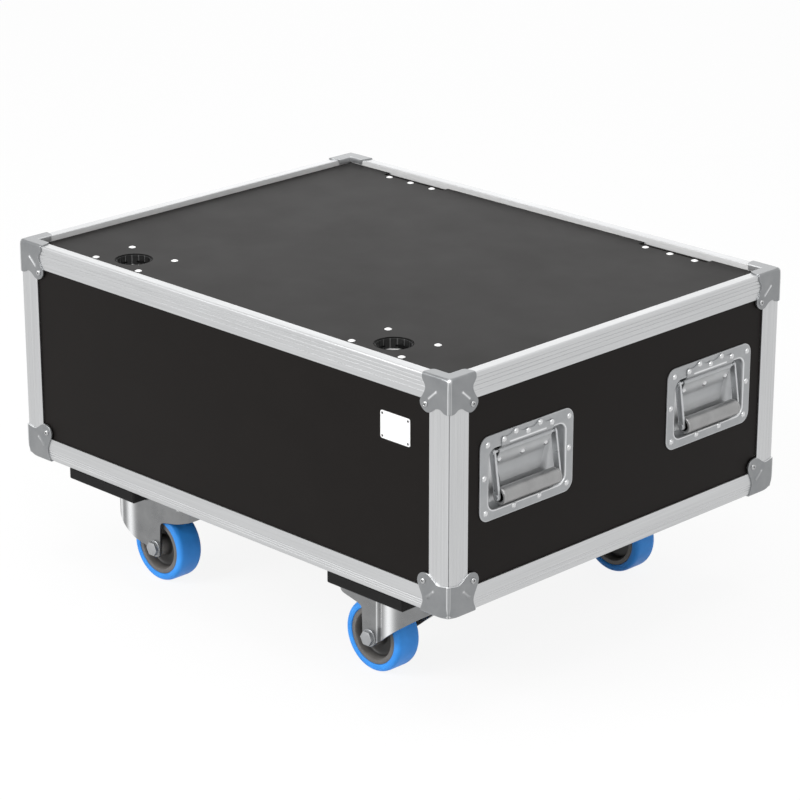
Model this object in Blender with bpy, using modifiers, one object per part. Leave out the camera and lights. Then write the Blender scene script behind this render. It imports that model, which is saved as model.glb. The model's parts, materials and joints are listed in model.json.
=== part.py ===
"""A wheeled road case: a low plywood trunk in aluminium rails, with a hinged hatch in its top.

Metres, +Z up, origin on the floor under the middle of the case, front face towards -Y.
"""

from math import asin, cos, degrees, hypot, pi, radians, sin

import bmesh
import bpy
from mathutils import Matrix, Vector

# Case body
CASE_LENGTH = 0.832
CASE_DEPTH = 0.6425
CASE_HEIGHT = 0.3185
PANEL_THICKNESS = 0.0095
SEAT_GAP = 0.0003

# Aluminium rails and posts
RAIL_WALL = 0.002
RAIL_EDGE_RADIUS = 0.003
TOP_RAIL_HEIGHT = 0.033
RIM_WIDTH = 0.016
RIM_LIP_RADIUS = 0.001
LEDGE_WIDTH = 0.010
LEDGE_THICKNESS = 0.002
BASE_RAIL_HEIGHT = 0.0325
BASE_FLANGE = 0.034
POST_FLANGE = 0.034
POST_SEAM = 0.0008
GROOVE_DEPTH = 0.0006
TOP_GROOVES = (0.0095, 0.0160, 0.0210, 0.0260)
BASE_GROOVES = (0.0030, 0.0055, 0.0080, 0.0105, 0.0130, 0.0155)
POST_GROOVES = (0.0090, 0.0150, 0.0210, 0.0270)

# Pressed steel corners
CORNER_GAUGE = 0.0015
CORNER_EDGE_RADIUS = 0.0022
TOP_CORNER_REACH = 0.0445
TOP_EAR_REACH = 0.0385
TOP_EAR_DROP = 0.0385
TOP_EAR_RADIUS = 0.0105
TOP_LOBE_DROP = 0.0445
TOP_INNER_REACH = 0.0410
TOP_INNER_DROP = 0.0062
TOP_NECK_SHARE = 0.4
BASE_CORNER_REACH = 0.0485
BASE_EAR_REACH = 0.0430
BASE_EAR_RISE = 0.0385
BASE_EAR_RADIUS = 0.0110
BASE_EDGE_RISE = 0.0420
BASE_WAIST_REACH = 0.0440
BASE_WAIST_RISE = 0.0160

# Hatch, its grip holes and its hinges
HATCH_THICKNESS = 0.0095
HATCH_DROP = 0.0070
HATCH_SIDE_GAP = 0.0026
HATCH_FRONT_GAP = 0.0026
HATCH_BACK_GAP = 0.0025
GRIP_HOLE_DIAMETER = 0.052
GRIP_HOLE_FROM_END = 0.1645
GRIP_HOLE_FROM_FRONT = 0.067
GRIP_CUP_WALL = 0.0018
GRIP_CUP_DEPTH = 0.015
GRIP_CUP_FLOOR = 0.0015
GRIP_CUP_INSET = 0.0005
GRIP_RIB_COUNT = 16
GRIP_RIB_HEIGHT = 0.0010
GRIP_FLANGE_LENGTH = 0.103
GRIP_FLANGE_WIDTH = 0.080
GRIP_FLANGE_THICKNESS = 0.002
HINGE_FROM_END = 0.165
HINGE_LENGTH = 0.120
HINGE_LEAF_WIDTH = 0.027
HINGE_LEAF_DROP = 0.026
HINGE_LEAF_THICKNESS = 0.002
HINGE_AXIS_INSET = 0.0045
KNUCKLE_RADIUS = 0.004
KNUCKLE_SHARE = 0.34
HINGE_PIN_RADIUS = 0.0016
HINGE_CLEARANCE = 0.0008

# Spring handles
HANDLE_FROM_FACE = 0.1432
HANDLE_RISE = 0.1683
DISH_WIDTH = 0.172
DISH_HEIGHT = 0.1135
DISH_CORNER = 0.015
DISH_GAUGE = 0.0015
RECESS_WIDTH = 0.1415
RECESS_HEIGHT = 0.082
RECESS_CORNER = 0.012
RECESS_DEPTH = 0.013
RECESS_SLOPE = 0.0035
BAIL_PIVOT_RISE = 0.0300
BAIL_PIVOT_DEPTH = 0.0068
BAIL_ROD_RADIUS = 0.0025
BAIL_SPAN = 0.116
BAIL_LEG_THICKNESS = 0.003
BAIL_LEG_WIDTH = 0.009
GRIP_DIAMETER = 0.022
GRIP_DROP = 0.0275
GRIP_PROUD = 0.002
STRAP_WIDTH = 0.096
STRAP_GAUGE = 0.0014
STRAP_RISE = 0.0490
STRAP_FOOT = 0.0100
STRAP_CLEARANCE = 0.0004

# Casters
CASTER_FROM_END = 0.1555
CASTER_FROM_FACE = 0.0852
CASTER_TRAIL = 0.046
WHEEL_DIAMETER = 0.100
WHEEL_WIDTH = 0.040
TYRE_THICKNESS = 0.0105
TYRE_SHOULDER = 0.006
HUB_INSET = 0.0010
HUB_RIM = 0.0065
HUB_WEB = 0.010
HUB_BOSS_RADIUS = 0.0125
AXLE_RADIUS = 0.006
AXLE_CLEARANCE = 0.0004
AXLE_HEAD_RADIUS = 0.0098
AXLE_HEAD_HEIGHT = 0.0065
FORK_GAUGE = 0.0033
FORK_SIDE_GAP = 0.0025
FORK_HEADROOM = 0.0165
FORK_HOUSING_RADIUS = 0.0365
FORK_TAIL = 0.064
FORK_TAIL_RADIUS = 0.020
FORK_LEG_HALF_WIDTH = 0.0135
FORK_SKIRT = 0.0245
FORK_NOSE_SKIRT = 0.0218
RACE_RADIUS = 0.0310
RACE_HEIGHT = 0.00695
RACE_GROOVE = 0.002
KINGPIN_RADIUS = 0.006
KINGPIN_NUT_RADIUS = 0.011
KINGPIN_NUT_HEIGHT = 0.006
PLATE_LENGTH = 0.105
PLATE_WIDTH = 0.085
PLATE_THICKNESS = 0.0035
PLATE_CORNER = 0.010
BLOCK_LENGTH = 0.139
BLOCK_DEPTH = 0.160
BLOCK_HEIGHT = 0.0175
BLOCK_EDGE = 0.002
BLOCK_SHIFT = 0.0005

# Facet counts
WHEEL_SEGMENTS = 28
ROUND_SEGMENTS = 18
SMALL_SEGMENTS = 12
ARC_STEPS = 4

# Places worked out from the sizes above
CAP_STAND = CORNER_GAUGE + SEAT_GAP
RAIL_X = CASE_LENGTH / 2 - CAP_STAND
RAIL_Y = CASE_DEPTH / 2 - CAP_STAND
AXLE_HEIGHT = WHEEL_DIAMETER / 2
CROWN_UNDERSIDE = WHEEL_DIAMETER + FORK_HEADROOM
CROWN_TOP = CROWN_UNDERSIDE + FORK_GAUGE
PLATE_UNDERSIDE = CROWN_TOP + 2 * RACE_HEIGHT + SEAT_GAP
CASTER_HEIGHT = PLATE_UNDERSIDE + PLATE_THICKNESS
BLOCK_BOTTOM = CASTER_HEIGHT + SEAT_GAP
RAIL_BOTTOM = BLOCK_BOTTOM + BLOCK_HEIGHT + SEAT_GAP
RAIL_TOP = RAIL_BOTTOM + CASE_HEIGHT - 2 * CAP_STAND
PANEL_INSET = RAIL_WALL + SEAT_GAP
PANEL_X = RAIL_X - PANEL_INSET
PANEL_Y = RAIL_Y - PANEL_INSET
PANEL_BOTTOM = RAIL_BOTTOM + PANEL_INSET
PANEL_TOP = RAIL_TOP - PANEL_INSET
HATCH_TOP = RAIL_TOP - HATCH_DROP
HATCH_BOTTOM = HATCH_TOP - HATCH_THICKNESS
HATCH_X = RAIL_X - RIM_WIDTH - HATCH_SIDE_GAP
HATCH_FRONT = -(RAIL_Y - RIM_WIDTH - HATCH_FRONT_GAP)
HATCH_BACK = RAIL_Y - RIM_WIDTH - HATCH_BACK_GAP
LEDGE_TOP = HATCH_BOTTOM - SEAT_GAP
HINGE_X = CASE_LENGTH / 2 - HINGE_FROM_END
HINGE_Y = HATCH_BACK - HINGE_AXIS_INSET
HINGE_Z = HATCH_TOP - HATCH_THICKNESS / 2
HINGE_SWEEP = hypot(HINGE_AXIS_INSET, HATCH_THICKNESS / 2)
GRIP_HOLE_X = CASE_LENGTH / 2 - GRIP_HOLE_FROM_END
GRIP_HOLE_Y = -(RAIL_Y - GRIP_HOLE_FROM_FRONT)
HANDLE_Y = CASE_DEPTH / 2 - HANDLE_FROM_FACE
HANDLE_Z = RAIL_BOTTOM + HANDLE_RISE
CASTER_X = CASE_LENGTH / 2 - CASTER_FROM_END
CASTER_Y = CASE_DEPTH / 2 - CASTER_FROM_FACE

CORNERS = (("front_left", -1, -1, 0), ("front_right", 1, -1, 90),
           ("back_right", 1, 1, 180), ("back_left", -1, 1, 270))
SIDES = (("front", 0), ("right", 90), ("back", 180), ("left", 270))


def clear_scene():
    """Removes every object of the scene that the script runs in."""
    for item in list(bpy.data.objects):
        bpy.data.objects.remove(item, do_unlink=True)


def material(name, colour, roughness, metallic):
    """A plain Principled finish."""
    finish = bpy.data.materials.new(name)
    finish.use_nodes = True
    shader = finish.node_tree.nodes["Principled BSDF"]
    shader.inputs["Base Color"].default_value = (*colour, 1.0)
    shader.inputs["Roughness"].default_value = roughness
    shader.inputs["Metallic"].default_value = metallic
    finish.diffuse_color = (*colour, 1.0)
    return finish


def tidy_mesh(mesh):
    """Welds loose caps and turns all faces outwards."""
    shape = bmesh.new()
    shape.from_mesh(mesh)
    bmesh.ops.remove_doubles(shape, verts=shape.verts, dist=1e-6)
    bmesh.ops.dissolve_degenerate(shape, edges=shape.edges, dist=1e-6)
    bmesh.ops.recalc_face_normals(shape, faces=shape.faces)
    shape.to_mesh(mesh)
    shape.free()
    return mesh


def evaluated_mesh(item):
    """The mesh that an object's curve or modifiers give; the object itself goes."""
    bpy.context.collection.objects.link(item)
    graph = bpy.context.evaluated_depsgraph_get()
    mesh = bpy.data.meshes.new_from_object(item.evaluated_get(graph))
    bpy.data.objects.remove(item, do_unlink=True)
    return tidy_mesh(mesh)


def arc(centre, radius, start, end, steps=ARC_STEPS):
    """Points along an arc, angles in degrees."""
    turns = [radians(start + (end - start) * step / steps) for step in range(steps + 1)]
    return [(centre[0] + radius * cos(turn), centre[1] + radius * sin(turn)) for turn in turns]


def rounded_rectangle(width, height, radius, steps=ARC_STEPS):
    """A rectangle about the origin with round corners."""
    points = []
    for quarter, (side_x, side_y) in enumerate(((1, 1), (-1, 1), (-1, -1), (1, -1))):
        centre = (side_x * (width / 2 - radius), side_y * (height / 2 - radius))
        points += arc(centre, radius, 90 * quarter, 90 * quarter + 90, steps)
    return points


def extruded(outline, low, high):
    """A flat outline in XY, filled and carried from low to high along Z."""
    curve = bpy.data.curves.new("outline", "CURVE")
    curve.dimensions = "2D"
    curve.fill_mode = "BOTH"
    curve.extrude = (high - low) / 2
    spline = curve.splines.new("POLY")
    spline.points.add(len(outline) - 1)
    for point, (across, along) in zip(spline.points, outline):
        point.co = (across, along, 0.0, 1.0)
    spline.use_cyclic_u = True
    mesh = evaluated_mesh(bpy.data.objects.new("outline", curve))
    mesh.transform(Matrix.Translation((0.0, 0.0, (low + high) / 2)))
    return mesh


def turned(profile, segments):
    """A closed profile of (radius, height) points turned about Z."""
    mesh = bpy.data.meshes.new("profile")
    points = [(radius, 0.0, height) for radius, height in profile]
    edges = [(index, (index + 1) % len(points)) for index in range(len(points))]
    mesh.from_pydata(points, edges, [])
    item = bpy.data.objects.new("profile", mesh)
    screw = item.modifiers.new("turn", "SCREW")
    screw.axis = "Z"
    screw.steps = segments
    screw.render_steps = segments
    screw.use_merge_vertices = True
    screw.merge_threshold = 1e-6
    return evaluated_mesh(item)


def block(low, high, edge=0.0, steps=2):
    """A box between two corners, with its edges rounded where edge is set."""
    shape = bmesh.new()
    size = [top - bottom for bottom, top in zip(low, high)]
    middle = [(top + bottom) / 2 for bottom, top in zip(low, high)]
    place = Matrix.Translation(middle) @ Matrix.Diagonal((*size, 1.0))
    bmesh.ops.create_cube(shape, size=1.0, matrix=place)
    mesh = bpy.data.meshes.new("block")
    shape.to_mesh(mesh)
    shape.free()
    if not edge:
        return mesh
    item = bpy.data.objects.new("block", mesh)
    bevel = item.modifiers.new("round", "BEVEL")
    bevel.width = edge
    bevel.segments = steps
    return evaluated_mesh(item)


def rod(radius, low, high, segments=ROUND_SEGMENTS):
    """A round bar along Z between two heights."""
    shape = bmesh.new()
    place = Matrix.Translation((0.0, 0.0, (low + high) / 2))
    bmesh.ops.create_cone(shape, cap_ends=True, segments=segments, radius1=radius,
                          radius2=radius, depth=high - low, matrix=place)
    mesh = bpy.data.meshes.new("rod")
    shape.to_mesh(mesh)
    shape.free()
    return mesh


def turned_to(mesh, axis, shift=(0.0, 0.0, 0.0)):
    """Lays a mesh made along Z along X or Y, then moves it."""
    spin = {"X": Matrix.Rotation(pi / 2, 4, "Y"), "Y": Matrix.Rotation(-pi / 2, 4, "X"),
            "Z": Matrix.Identity(4)}[axis]
    mesh.transform(Matrix.Translation(shift) @ spin)
    return mesh


def across_y(outline, low, high):
    """An outline of (x, z) points carried along Y from low to high."""
    mesh = extruded(outline, -high, -low)
    mesh.transform(Matrix.Rotation(pi / 2, 4, "X"))
    return mesh


def across_x(outline, low, high):
    """An outline of (y, z) points carried along X from low to high."""
    mesh = extruded(outline, low, high)
    mesh.transform(Matrix(((0, 0, 1, 0), (1, 0, 0, 0), (0, 1, 0, 0), (0, 0, 0, 1))))
    return mesh


def combined(base, steps):
    """Joins or cuts a mesh with others; steps holds (operation, mesh) pairs."""
    item = bpy.data.objects.new("body", base)
    tools = []
    for operation, mesh in steps:
        tool = bpy.data.objects.new("tool", mesh)
        bpy.context.collection.objects.link(tool)
        tools.append(tool)
        change = item.modifiers.new(operation.lower(), "BOOLEAN")
        change.operation = operation
        change.solver = "EXACT"
        change.object = tool
    bpy.context.view_layer.update()
    mesh = evaluated_mesh(item)
    for tool in tools:
        bpy.data.objects.remove(tool, do_unlink=True)
    return mesh


def place(name, mesh, finish, location=(0.0, 0.0, 0.0), turn=0.0, parent=None):
    """Adds a named piece to the case's collection; location is in world space."""
    item = bpy.data.objects.new(name, mesh)
    if not mesh.materials:
        mesh.materials.append(finish)
    mesh.shade_smooth()
    mesh.set_sharp_from_angle(angle=radians(35))
    bpy.data.collections["road_case"].objects.link(item)
    item.rotation_euler.z = radians(turn)
    item.location = location
    if parent:
        item.parent = parent
        item.location = Vector(location) - parent.location
    return item


def pivot(name, location):
    """An empty on a joint's axis, which carries the pieces that turn there."""
    item = bpy.data.objects.new(name, None)
    item.empty_display_size = 0.02
    item.location = location
    bpy.data.collections["road_case"].objects.link(item)
    return item


def grooves(heights):
    """Points of small V grooves in a face at u = 0, from the lowest up."""
    half = GROOVE_DEPTH
    points = []
    for height in heights:
        points += [(0.0, height - half), (GROOVE_DEPTH, height), (0.0, height + half)]
    return points


def top_rail_profile():
    """Section of the top rail: grooved face, rim and the wall beside the hatch."""
    lip = RIM_LIP_RADIUS
    edge = RAIL_EDGE_RADIUS
    height = TOP_RAIL_HEIGHT
    inner_foot = height + LEDGE_TOP - LEDGE_THICKNESS - RAIL_TOP
    points = [(0.0, 0.0)] + grooves(TOP_GROOVES)
    points += arc((edge, height - edge), edge, 180, 90)
    points += arc((RIM_WIDTH - lip, height - lip), lip, 90, 0, 2)
    points += [(RIM_WIDTH, inner_foot), (RIM_WIDTH - RAIL_WALL, inner_foot)]
    points += [(RIM_WIDTH - RAIL_WALL, height - RAIL_WALL), (RAIL_WALL, height - RAIL_WALL)]
    points += [(RAIL_WALL, 0.0)]
    return points


def base_rail_profile():
    """Section of the base rail: an angle with a grooved lower half."""
    edge = RAIL_EDGE_RADIUS
    points = arc((edge, edge), edge, 270, 180)
    points += grooves([edge + height for height in BASE_GROOVES])
    points += [(0.0, BASE_RAIL_HEIGHT), (RAIL_WALL, BASE_RAIL_HEIGHT), (RAIL_WALL, RAIL_WALL)]
    points += [(BASE_FLANGE, RAIL_WALL), (BASE_FLANGE, 0.0)]
    return points


def mitred_rail(profile, half_length, half_depth, foot):
    """A section carried along the front of the case, its ends cut at 45 degrees."""
    mesh = extruded(profile, -half_length, half_length)
    for vertex in mesh.vertices:
        inward, height, along = vertex.co
        reach = half_length - inward - SEAT_GAP
        vertex.co = (reach if along > 0 else -reach, inward - half_depth, foot + height)
    return tidy_mesh(mesh)


def with_ledge(rail, half_length, half_depth, low_stop, high_stop):
    """Adds the ledge that the hatch lies on, between two stops along the rail."""
    root = RIM_WIDTH - RAIL_WALL / 2 - half_depth
    tip = RIM_WIDTH + LEDGE_WIDTH - half_depth
    ledge = block((-half_length + low_stop, root, LEDGE_TOP - LEDGE_THICKNESS * 2),
                  (half_length - high_stop, tip, LEDGE_TOP))
    relief = block((-half_length, RIM_WIDTH - half_depth, LEDGE_TOP - LEDGE_THICKNESS * 3),
                   (half_length, tip + LEDGE_WIDTH, LEDGE_TOP - LEDGE_THICKNESS))
    return combined(rail, [("UNION", ledge), ("DIFFERENCE", relief)])


def build_rails(finish):
    """Four top rails, three of them with a ledge, and four base rails."""
    profile = top_rail_profile()
    foot = RAIL_TOP - TOP_RAIL_HEIGHT
    inner = RIM_WIDTH + LEDGE_WIDTH
    sweep = RIM_WIDTH + HATCH_BACK_GAP + HINGE_AXIS_INSET + HINGE_SWEEP + 2 * HINGE_CLEARANCE
    for side, turn in SIDES:
        long_side = side in ("front", "back")
        half_length, half_depth = (RAIL_X, RAIL_Y) if long_side else (RAIL_Y, RAIL_X)
        rail = mitred_rail(profile, half_length, half_depth, foot)
        if side == "front":
            rail = with_ledge(rail, half_length, half_depth, inner + SEAT_GAP, inner + SEAT_GAP)
        if side == "right":
            rail = with_ledge(rail, half_length, half_depth, RIM_WIDTH + SEAT_GAP, sweep)
        if side == "left":
            rail = with_ledge(rail, half_length, half_depth, sweep, RIM_WIDTH + SEAT_GAP)
        place(f"top_rail_{side}", rail, finish, turn=turn)
        base = mitred_rail(base_rail_profile(), half_length, half_depth, RAIL_BOTTOM)
        place(f"base_rail_{side}", base, finish, turn=turn)


def post_outline():
    """Plan of a corner post: an angle with a seam down its edge and shallow bands."""
    edge = RAIL_EDGE_RADIUS
    face = [(0.0, POST_FLANGE)]
    for inward in reversed(POST_GROOVES):
        face += [(0.0, inward + GROOVE_DEPTH), (GROOVE_DEPTH / 2, inward), (0.0, inward - GROOVE_DEPTH)]
    round_half = arc((edge, edge), edge, 180, 225 - 8, 2)
    side = face + round_half
    seam = [((edge - edge * cos(pi / 4)) + POST_SEAM,) * 2]
    mirrored = [(along, across) for across, along in reversed(side)]
    inner = [(POST_FLANGE, RAIL_WALL), (RAIL_WALL, RAIL_WALL), (RAIL_WALL, POST_FLANGE)]
    return side + seam + mirrored + inner


def build_posts(finish):
    """The upright angles between the base rails and the top rails."""
    low = RAIL_BOTTOM + BASE_RAIL_HEIGHT + SEAT_GAP
    high = RAIL_TOP - TOP_RAIL_HEIGHT - SEAT_GAP
    mesh = extruded(post_outline(), low, high)
    for corner, side_x, side_y, turn in CORNERS:
        place(f"corner_post_{corner}", mesh, finish, (side_x * RAIL_X, side_y * RAIL_Y, 0.0), turn)


def build_panels(finish):
    """Front, back, end and base boards, seated inside the rails."""
    inner_x = PANEL_X - PANEL_THICKNESS
    inner_y = PANEL_Y - PANEL_THICKNESS
    for name, side in (("front_panel", -1), ("back_panel", 1)):
        low_y, high_y = sorted((side * PANEL_Y, side * inner_y))
        mesh = block((-PANEL_X, low_y, PANEL_BOTTOM), (PANEL_X, high_y, PANEL_TOP))
        place(name, mesh, finish)
    opening = rounded_rectangle(RECESS_WIDTH + 2 * DISH_GAUGE + 2 * SEAT_GAP,
                                RECESS_HEIGHT + 2 * DISH_GAUGE + 2 * SEAT_GAP, RECESS_CORNER)
    for name, side in (("left_panel", -1), ("right_panel", 1)):
        low_x, high_x = sorted((side * PANEL_X, side * inner_x))
        mesh = block((low_x, SEAT_GAP - inner_y, PANEL_BOTTOM), (high_x, inner_y - SEAT_GAP, PANEL_TOP))
        cuts = []
        for shift in (-HANDLE_Y, HANDLE_Y):
            cutter = across_x(opening, low_x - PANEL_THICKNESS, high_x + PANEL_THICKNESS)
            cutter.transform(Matrix.Translation((0.0, shift, HANDLE_Z)))
            cuts.append(("DIFFERENCE", cutter))
        place(name, combined(mesh, cuts), finish)
    base = block((SEAT_GAP - inner_x, SEAT_GAP - inner_y, PANEL_BOTTOM),
                 (inner_x - SEAT_GAP, inner_y - SEAT_GAP, PANEL_BOTTOM + PANEL_THICKNESS))
    place("base_panel", base, finish)


def corner_shell(size, upward):
    """Three thin plates that meet in one round-edged corner, at the rails' outer corner."""
    outer = block((-CAP_STAND, -CAP_STAND, -size), (size, size, CAP_STAND), CORNER_EDGE_RADIUS)
    inner = block((-SEAT_GAP, -SEAT_GAP, -2 * size), (2 * size, 2 * size, SEAT_GAP))
    shell = combined(outer, [("DIFFERENCE", inner)])
    if not upward:
        shell.transform(Matrix.Diagonal((1.0, 1.0, -1.0, 1.0)))
        shell.flip_normals()
    return shell


def leaf_cutters(waste):
    """Cutters that trim both side plates of a corner to one outline of (reach, height)."""
    depth = 4 * CORNER_GAUGE
    front = across_y(waste, -depth, 0.0)
    side = front.copy()
    side.transform(Matrix(((0, 1, 0, 0), (1, 0, 0, 0), (0, 0, 1, 0), (0, 0, 0, 1))))
    side.flip_normals()
    return [("DIFFERENCE", front), ("DIFFERENCE", side)]


def top_corner():
    """Top corner: it straddles the rim, with two scalloped leaves outside and a lining inside."""
    size = TOP_EAR_REACH + 3 * TOP_EAR_RADIUS
    far = 2 * size
    ear = (TOP_EAR_REACH, -TOP_EAR_DROP)
    neck = (TOP_CORNER_REACH - TOP_EAR_RADIUS * TOP_NECK_SHARE, -TOP_EAR_DROP + 2.1 * TOP_EAR_RADIUS)
    waste = [(TOP_CORNER_REACH, far), (TOP_CORNER_REACH, -TOP_EAR_RADIUS * 0.6), neck]
    waste += arc(ear, TOP_EAR_RADIUS, 40, -115, 6)
    waste += [(TOP_EAR_REACH - 1.6 * TOP_EAR_RADIUS, -TOP_LOBE_DROP + 0.2 * TOP_EAR_RADIUS)]
    waste += [(TOP_EAR_REACH - 2.2 * TOP_EAR_RADIUS, -TOP_LOBE_DROP + 0.35 * TOP_EAR_RADIUS)]
    waste += [(TOP_EAR_REACH - 2.9 * TOP_EAR_RADIUS, -TOP_LOBE_DROP), (-far, -TOP_LOBE_DROP)]
    waste += [(-far, -far), (far, -far), (far, far)]
    wall = RIM_WIDTH + SEAT_GAP
    face = wall + CORNER_GAUGE
    end = TOP_INNER_REACH
    lining = [(wall, wall), (end, wall), (end, face), (face, face), (face, end), (wall, end)]
    edge = face + SEAT_GAP / 2
    strap = [(edge, edge), (end, edge), (TOP_CORNER_REACH, edge / 2), (TOP_CORNER_REACH, -far)]
    strap += [(far, -far), (far, far), (-far, far), (-far, TOP_CORNER_REACH)]
    strap += [(edge / 2, TOP_CORNER_REACH), (edge, end)]
    steps = leaf_cutters(waste)
    steps.append(("DIFFERENCE", extruded(strap, 0.0, 4 * CORNER_GAUGE)))
    steps.append(("UNION", extruded(lining, -TOP_INNER_DROP, SEAT_GAP + CORNER_GAUGE / 2)))
    return combined(corner_shell(size, True), steps)


def base_corner():
    """Base corner: two waisted leaves whose rivet ears point up, and a foot under the rail."""
    size = BASE_EAR_REACH + 3 * BASE_EAR_RADIUS
    far = 2 * size
    ear = (BASE_EAR_REACH, BASE_EAR_RISE)
    waste = [(-far, BASE_EDGE_RISE), (BASE_EAR_REACH - 2.1 * BASE_EAR_RADIUS, BASE_EDGE_RISE)]
    waste += arc(ear, BASE_EAR_RADIUS, 125, -25, 6)
    waste += [(BASE_WAIST_REACH, BASE_WAIST_RISE), (BASE_CORNER_REACH, 0.0)]
    waste += [(BASE_CORNER_REACH, -far), (far, -far), (far, far), (-far, far)]
    foot = [(BASE_CORNER_REACH, -far), (BASE_CORNER_REACH, BASE_CORNER_REACH / 2)]
    foot += [(BASE_CORNER_REACH / 2, BASE_CORNER_REACH), (-far, BASE_CORNER_REACH)]
    foot += [(-far, far), (far, far), (far, -far)]
    steps = leaf_cutters(waste)
    steps.append(("DIFFERENCE", extruded(foot, -4 * CORNER_GAUGE, 0.0)))
    return combined(corner_shell(size, False), steps)


def build_corners(finish):
    """Eight pressed corners over the joints of the rails."""
    upper = top_corner()
    lower = base_corner()
    for corner, side_x, side_y, turn in CORNERS:
        spot = (side_x * RAIL_X, side_y * RAIL_Y)
        place(f"top_corner_{corner}", upper, finish, (*spot, RAIL_TOP), turn)
        place(f"base_corner_{corner}", lower, finish, (*spot, RAIL_BOTTOM), turn)


def tapered_tray(width, height, radius, shrink, low, high):
    """A round-cornered prism along X whose inner end is smaller by shrink on each side."""
    mesh = across_x(rounded_rectangle(width, height, radius), low, high)
    middle = (low + high) / 2
    for vertex in mesh.vertices:
        if vertex.co.x < middle:
            vertex.co.y *= 1 - 2 * shrink / width
            vertex.co.z *= 1 - 2 * shrink / height
    return mesh


def strap_profile():
    """Section (outward, up) of the strap that hooks round the bail's rod into the recess."""
    gauge = STRAP_GAUGE
    lift = SEAT_GAP + DISH_GAUGE
    back = lift - RECESS_DEPTH
    brow = RECESS_HEIGHT / 2
    seat = (lift - BAIL_PIVOT_DEPTH, BAIL_PIVOT_RISE)
    snug = BAIL_ROD_RADIUS + STRAP_CLEARANCE
    outer = [(lift - gauge / 2, STRAP_RISE), (lift + gauge, STRAP_RISE), (lift + gauge, brow)]
    outer += arc(seat, snug + gauge, 45, -90)
    outer += [(back + gauge, BAIL_PIVOT_RISE - snug - gauge), (back + gauge, -STRAP_FOOT)]
    inner = [(back - gauge / 2, -STRAP_FOOT), (back - gauge / 2, BAIL_PIVOT_RISE - snug)]
    inner += arc(seat, snug, -90, 45)
    return outer + inner + [(lift - gauge / 2, brow + gauge / 2)]


def handle_dish():
    """Pressed dish with a flange, sloping walls and the strap that holds the bail's rod."""
    lift = SEAT_GAP + DISH_GAUGE
    flange = across_x(rounded_rectangle(DISH_WIDTH, DISH_HEIGHT, DISH_CORNER), SEAT_GAP, lift)
    pan = tapered_tray(RECESS_WIDTH + 2 * DISH_GAUGE, RECESS_HEIGHT + 2 * DISH_GAUGE, RECESS_CORNER,
                       RECESS_SLOPE, lift - RECESS_DEPTH - DISH_GAUGE, lift - DISH_GAUGE / 2)
    hollow = tapered_tray(RECESS_WIDTH, RECESS_HEIGHT, RECESS_CORNER - DISH_GAUGE, RECESS_SLOPE,
                          lift - RECESS_DEPTH, lift + RECESS_DEPTH / 8)
    profile = strap_profile()
    strap = across_y(profile, -STRAP_WIDTH / 2, STRAP_WIDTH / 2)
    return combined(flange, [("UNION", pan), ("DIFFERENCE", hollow), ("UNION", strap)])


def handle_bail():
    """Two flat legs on a rod, with a round grip between them; origin on the rod's axis."""
    reach = BAIL_PIVOT_RISE + GRIP_DROP
    out = BAIL_PIVOT_DEPTH + GRIP_PROUD
    half = BAIL_LEG_WIDTH / 2
    lean = hypot(reach, out)
    tilt = Matrix.Rotation(-pi / 2, 4, "X")
    grip_span = BAIL_SPAN - 2 * BAIL_LEG_THICKNESS
    grip = rod(GRIP_DIAMETER / 2, -grip_span / 2, grip_span / 2)
    grip.transform(Matrix.Translation((out, 0.0, -reach)) @ tilt)
    axle = rod(BAIL_ROD_RADIUS, -BAIL_SPAN / 2 + half / 4, BAIL_SPAN / 2 - half / 4, SMALL_SEGMENTS)
    axle.transform(tilt)
    slot = arc((0.0, 0.0), half, 0, 180) + arc((0.0, -lean), half, 180, 360)
    steps = [("UNION", axle)]
    for side in (-1, 1):
        low, high = sorted((side * BAIL_SPAN / 2, side * (BAIL_SPAN / 2 - BAIL_LEG_THICKNESS - SEAT_GAP)))
        leg = across_y(slot, low, high)
        angle = Vector((0.0, -reach)).angle_signed(Vector((out, -reach)))
        leg.transform(Matrix.Rotation(angle, 4, "Y"))
        steps.append(("UNION", leg))
    return combined(grip, steps)


def build_handles(steel, grip):
    """Two spring handles on each end of the case."""
    dish = handle_dish()
    bail = handle_bail()
    out = PANEL_X + SEAT_GAP + DISH_GAUGE - BAIL_PIVOT_DEPTH
    for end, side, turn in (("right", 1, 0), ("left", -1, 180)):
        for row, shift in (("front", -HANDLE_Y), ("back", HANDLE_Y)):
            place(f"handle_dish_{end}_{row}", dish, steel, (side * PANEL_X, shift, HANDLE_Z), turn)
            spot = (side * out, shift, HANDLE_Z + BAIL_PIVOT_RISE)
            place(f"handle_bail_{end}_{row}", bail, grip, spot, turn)


def hatch_panel():
    """The hatch board with its two grip holes and a notch for each hinge."""
    board = block((-HATCH_X, HATCH_FRONT, HATCH_BOTTOM), (HATCH_X, HATCH_BACK, HATCH_TOP))
    steps = []
    notch = HINGE_LENGTH / 2 + HINGE_CLEARANCE
    notch_front = HINGE_Y - KNUCKLE_RADIUS - HINGE_LEAF_THICKNESS - 2 * HINGE_CLEARANCE
    for side in (-1, 1):
        hole = rod(GRIP_HOLE_DIAMETER / 2, HATCH_BOTTOM - HATCH_DROP, HATCH_TOP + HATCH_DROP,
                   2 * ROUND_SEGMENTS)
        hole.transform(Matrix.Translation((side * GRIP_HOLE_X, GRIP_HOLE_Y, 0.0)))
        steps.append(("DIFFERENCE", hole))
        middle = side * HINGE_X
        steps.append(("DIFFERENCE", block((middle - notch, notch_front, HATCH_BOTTOM - HATCH_DROP),
                                          (middle + notch, HATCH_BACK + RIM_WIDTH, HATCH_TOP + HATCH_DROP))))
    return combined(board, steps)


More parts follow.
